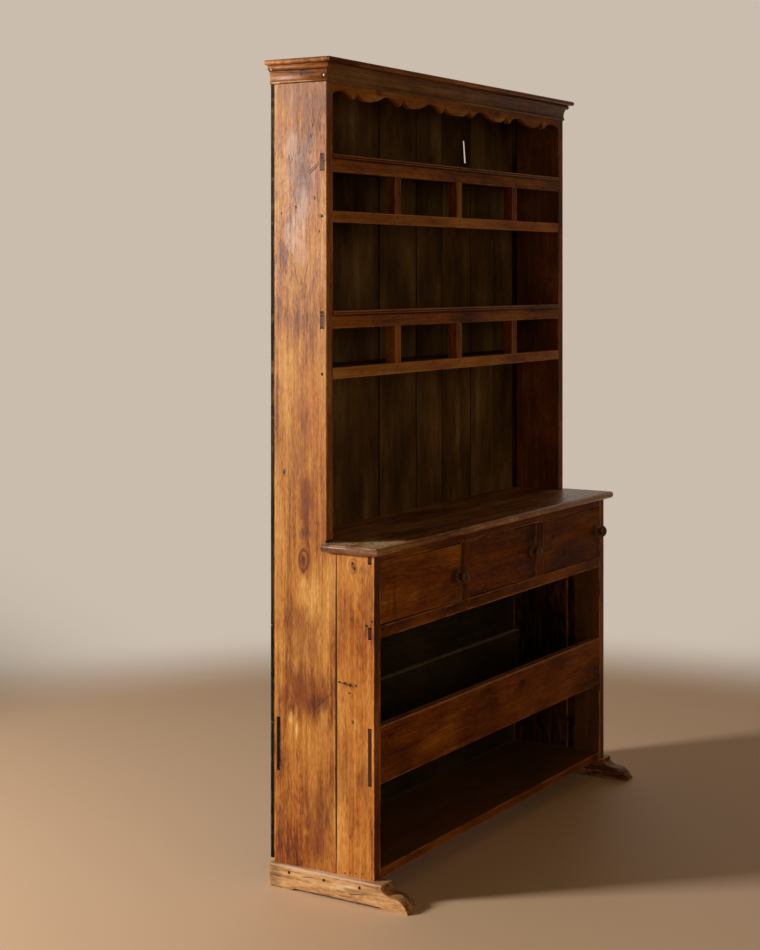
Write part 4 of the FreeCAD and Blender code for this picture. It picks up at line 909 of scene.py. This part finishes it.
# %% Which finish each board has
KINDS = {
    "side": ("side_board",),
    "foot": ("foot",),
    "cornice": ("cornice_front",),
    "crown": ("crown", "cornice"),
    "top": ("worktop",),
    "peg": ("pegs",),
    "inside": ("gallery_floor", "gallery_shelf", "back_plank", "stops", "latch", "cupboard_floor"),
    "rack": ("gallery", "valance"),
    "knob": ("knob",),
    "base": ("back_board", "rear_rail", "middle_shelf"),
}
TONES = {"right_shoe_foot": -0.3, "left_shoe_foot": 0.02, "lower_gallery_bottom_rail": 0.38,
         "upper_gallery_bottom_rail": 0.16, "bank_bottom_rail": -0.05, "valance": 0.09,
         "cornice_front": 0.02, "left_front_side_board": 0.08, "front_board": 0.03, "cornice_left": 0.12,
         "bank_stile": -0.14, "door_1": 0.05, "door_2": -0.1, "door_3": -0.03, "worktop": 0.04,
         "back_plank": 0.06}
END_TONES = {"crown_board": 0.18, "worktop": -0.06, "rear_rail": -0.5, "front_board": -0.5,
             "bank_top_rail": -0.4, "bank_bottom_rail": -0.4}
UPRIGHT = ("side_board", "stile", "plank")
FRONT_TO_BACK = ("foot", "knob", "cornice_left", "cornice_right")
TENONS = ("top_rail", "bottom_rail", "front_board")


def has(node, words):
    return any(word in node for word in words)


def grain_of(node):
    if has(node, UPRIGHT):
        return "Z"
    return "Y" if has(node, FRONT_TO_BACK) else "X"


# %% Finish every board
for node in nodes:
    if "pins" in node:
        continue
    kind = next((finish for finish, words in KINDS.items() if has(node, words)), "front")
    tone = next((value for word, value in TONES.items() if word in node), 0.0)
    timber(node, kind, grain_of(node), tone, end=END_TONES.get(node, END_TONE),
           tenon=has(node, TENONS), **MARKS.get(node, {}))
print(len(bpy.data.materials), "materials")

# %% [markdown]
# The doors turn on iron pins. Old iron is never clean, so rust clouds its colour and roughness.

# %% Iron pins
IRON = paint(46, 42, 40)
RUST = paint(86, 48, 28)
RUST_SCALE = 400.0
RUST_COVER = (0.45, 0.65)
CLEAN_ROUGHNESS, RUST_ROUGHER = 0.4, 0.3

pin_iron, tree, shader, place = new_material("pin_iron")
cloud = place.node("TexNoise", {"Vector": place, "Scale": RUST_SCALE, "Detail": 3.0}).step(*RUST_COVER)
plug(mix(cloud, IRON, RUST), shader, "Base Color")
plug(cloud * RUST_ROUGHER + CLEAN_ROUGHNESS, shader, "Roughness")
shader.inputs["Metallic"].default_value = 0.8
for node in nodes:
    if "pins" in node:
        nodes[node].data.materials.clear()
        nodes[node].data.materials.append(pin_iron)
        print(node, "are iron")

# %% [markdown]
# Two bright nails hold the left return of the cornice, and a black one the rail over the doors. The bright
# heads are a pale, partly diffuse steel, which also paints in their glint. Each head is a short turned disc:
# its top is inset and lifted twice, so that it is domed as a hammered head is. The work is done at the
# origin, where the top faces straight up and is easy to find.

# %% A domed head
HEAD_SIDES = 16
HEAD_THICKNESS = 0.5
DOME_INSETS = (0.3, 0.25)
DOME_LIFT = 0.6


def domed_head(name, radius):
    """A nail head at the origin, its sizes told as shares of its radius."""
    bpy.ops.object.select_all(action="DESELECT")
    bpy.ops.mesh.primitive_cylinder_add(vertices=HEAD_SIDES, radius=radius, depth=radius * HEAD_THICKNESS)
    head = bpy.context.object
    head.name = name
    bpy.ops.object.mode_set(mode="EDIT")
    bpy.ops.mesh.select_all(action="DESELECT")
    bpy.ops.object.mode_set(mode="OBJECT")
    for face in head.data.polygons:
        face.select = face.normal.z > 0.9
    bpy.ops.object.mode_set(mode="EDIT")
    for share in DOME_INSETS:
        bpy.ops.mesh.inset(thickness=radius * share)
        bpy.ops.transform.translate(value=(0, 0, radius * share * DOME_LIFT))
    bpy.ops.object.mode_set(mode="OBJECT")
    return head


# %% [markdown]
# A ray towards the board finds the surface that the head sits on and the way that surface faces. The
# head is turned that way and moved there, and its place is then applied, so that the mesh itself holds it.

# %% Nail heads
# Pale steel, which also stands in for a painted glint
STEEL_AND_GLINT = paint(236, 230, 220)
NAILS = {
    "cornice_nail_rear": ("cornice_left", (-60, 294, 2056), (1, 0, 0), 3.4, STEEL_AND_GLINT),
    "cornice_nail_front": ("cornice_left", (-60, 143, 2036), (1, 0, 0), 4.0, STEEL_AND_GLINT),
    "rail_nail": ("bank_top_rail", (462.5, -60, 835), (0, 1, 0), 3.2, IRON),
}
SCRATCH_SCALE = 900.0
BRIGHT_AT, TARNISHED_AT = 0.3, 0.8
HEAD_ROUGHNESS, SCRATCH_ROUGHER = 0.2, 0.3
SMOOTH_BELOW = math.radians(60)


def nail(name, board, start, aim, radius, metal):
    origin = Vector(CORNER) + Vector(start) * MM
    found, spot, facing, _ = nodes[board].ray_cast(origin, aim)
    head = domed_head(name, radius * MM)
    head.rotation_euler = facing.to_track_quat("Z", "Y").to_euler()
    head.location = spot
    bpy.ops.object.transform_apply(location=True, rotation=True, scale=True)
    bpy.ops.object.shade_smooth_by_angle(angle=SMOOTH_BELOW)
    material, tree, shader, place = new_material(name + "_metal")
    scratch = place.node("TexNoise", {"Vector": place, "Scale": SCRATCH_SCALE, "Detail": 2.0})
    tarnish = ((BRIGHT_AT, metal), (TARNISHED_AT, IRON))
    plug(scratch.node("ValToRGB", {0: scratch}, stops=tarnish), shader, "Base Color")
    plug(scratch * SCRATCH_ROUGHER + HEAD_ROUGHNESS, shader, "Roughness")
    shader.inputs["Metallic"].default_value = 0.6
    head.data.materials.append(material)
    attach(head, "root")
    return found


print("nails seated:", [nail(name, *facts) for name, facts in NAILS.items()])

# %% [markdown]
# No old board has a sharp arris. A weld joins the loose triangles, a planar dissolve clears the lines
# inside flat faces, and a small bevel rounds what is left, so that edges catch the light. Hardened
# normals keep the flat faces flat. The side boards do without them, because between their many mortises
# hardened normals draw faint lines. Small sections, mouldings and the worktop get a finer bevel, and
# knobs, pins and pegs none.

# %% Eased arrises
EASE, FINE_EASE = 1.2 * MM, 0.4 * MM
FINELY_EASED = ("cornice", "gallery", "crown", "worktop", "stile")
UNEASED = ("knob", "pins", "pegs")
WELD_REACH = 0.01 * MM
FLAT_WITHIN = math.radians(0.5)
ARRIS_OVER = math.radians(40)


def ease(node, width):
    made = nodes[node]
    weld = made.modifiers.new("weld", "WELD")
    weld.merge_threshold = WELD_REACH
    flat = made.modifiers.new("flat", "DECIMATE")
    flat.decimate_type = "DISSOLVE"
    flat.angle_limit = FLAT_WITHIN
    bevel = made.modifiers.new("ease", "BEVEL")
    bevel.width = width
    bevel.segments = 2
    bevel.limit_method = "ANGLE"
    bevel.angle_limit = ARRIS_OVER
    bevel.harden_normals = "side_board" not in node


to_ease = [node for node in nodes if not has(node, UNEASED)]
for node in to_ease:
    ease(node, FINE_EASE if has(node, FINELY_EASED) else EASE)
print(len(to_ease), "boards eased")
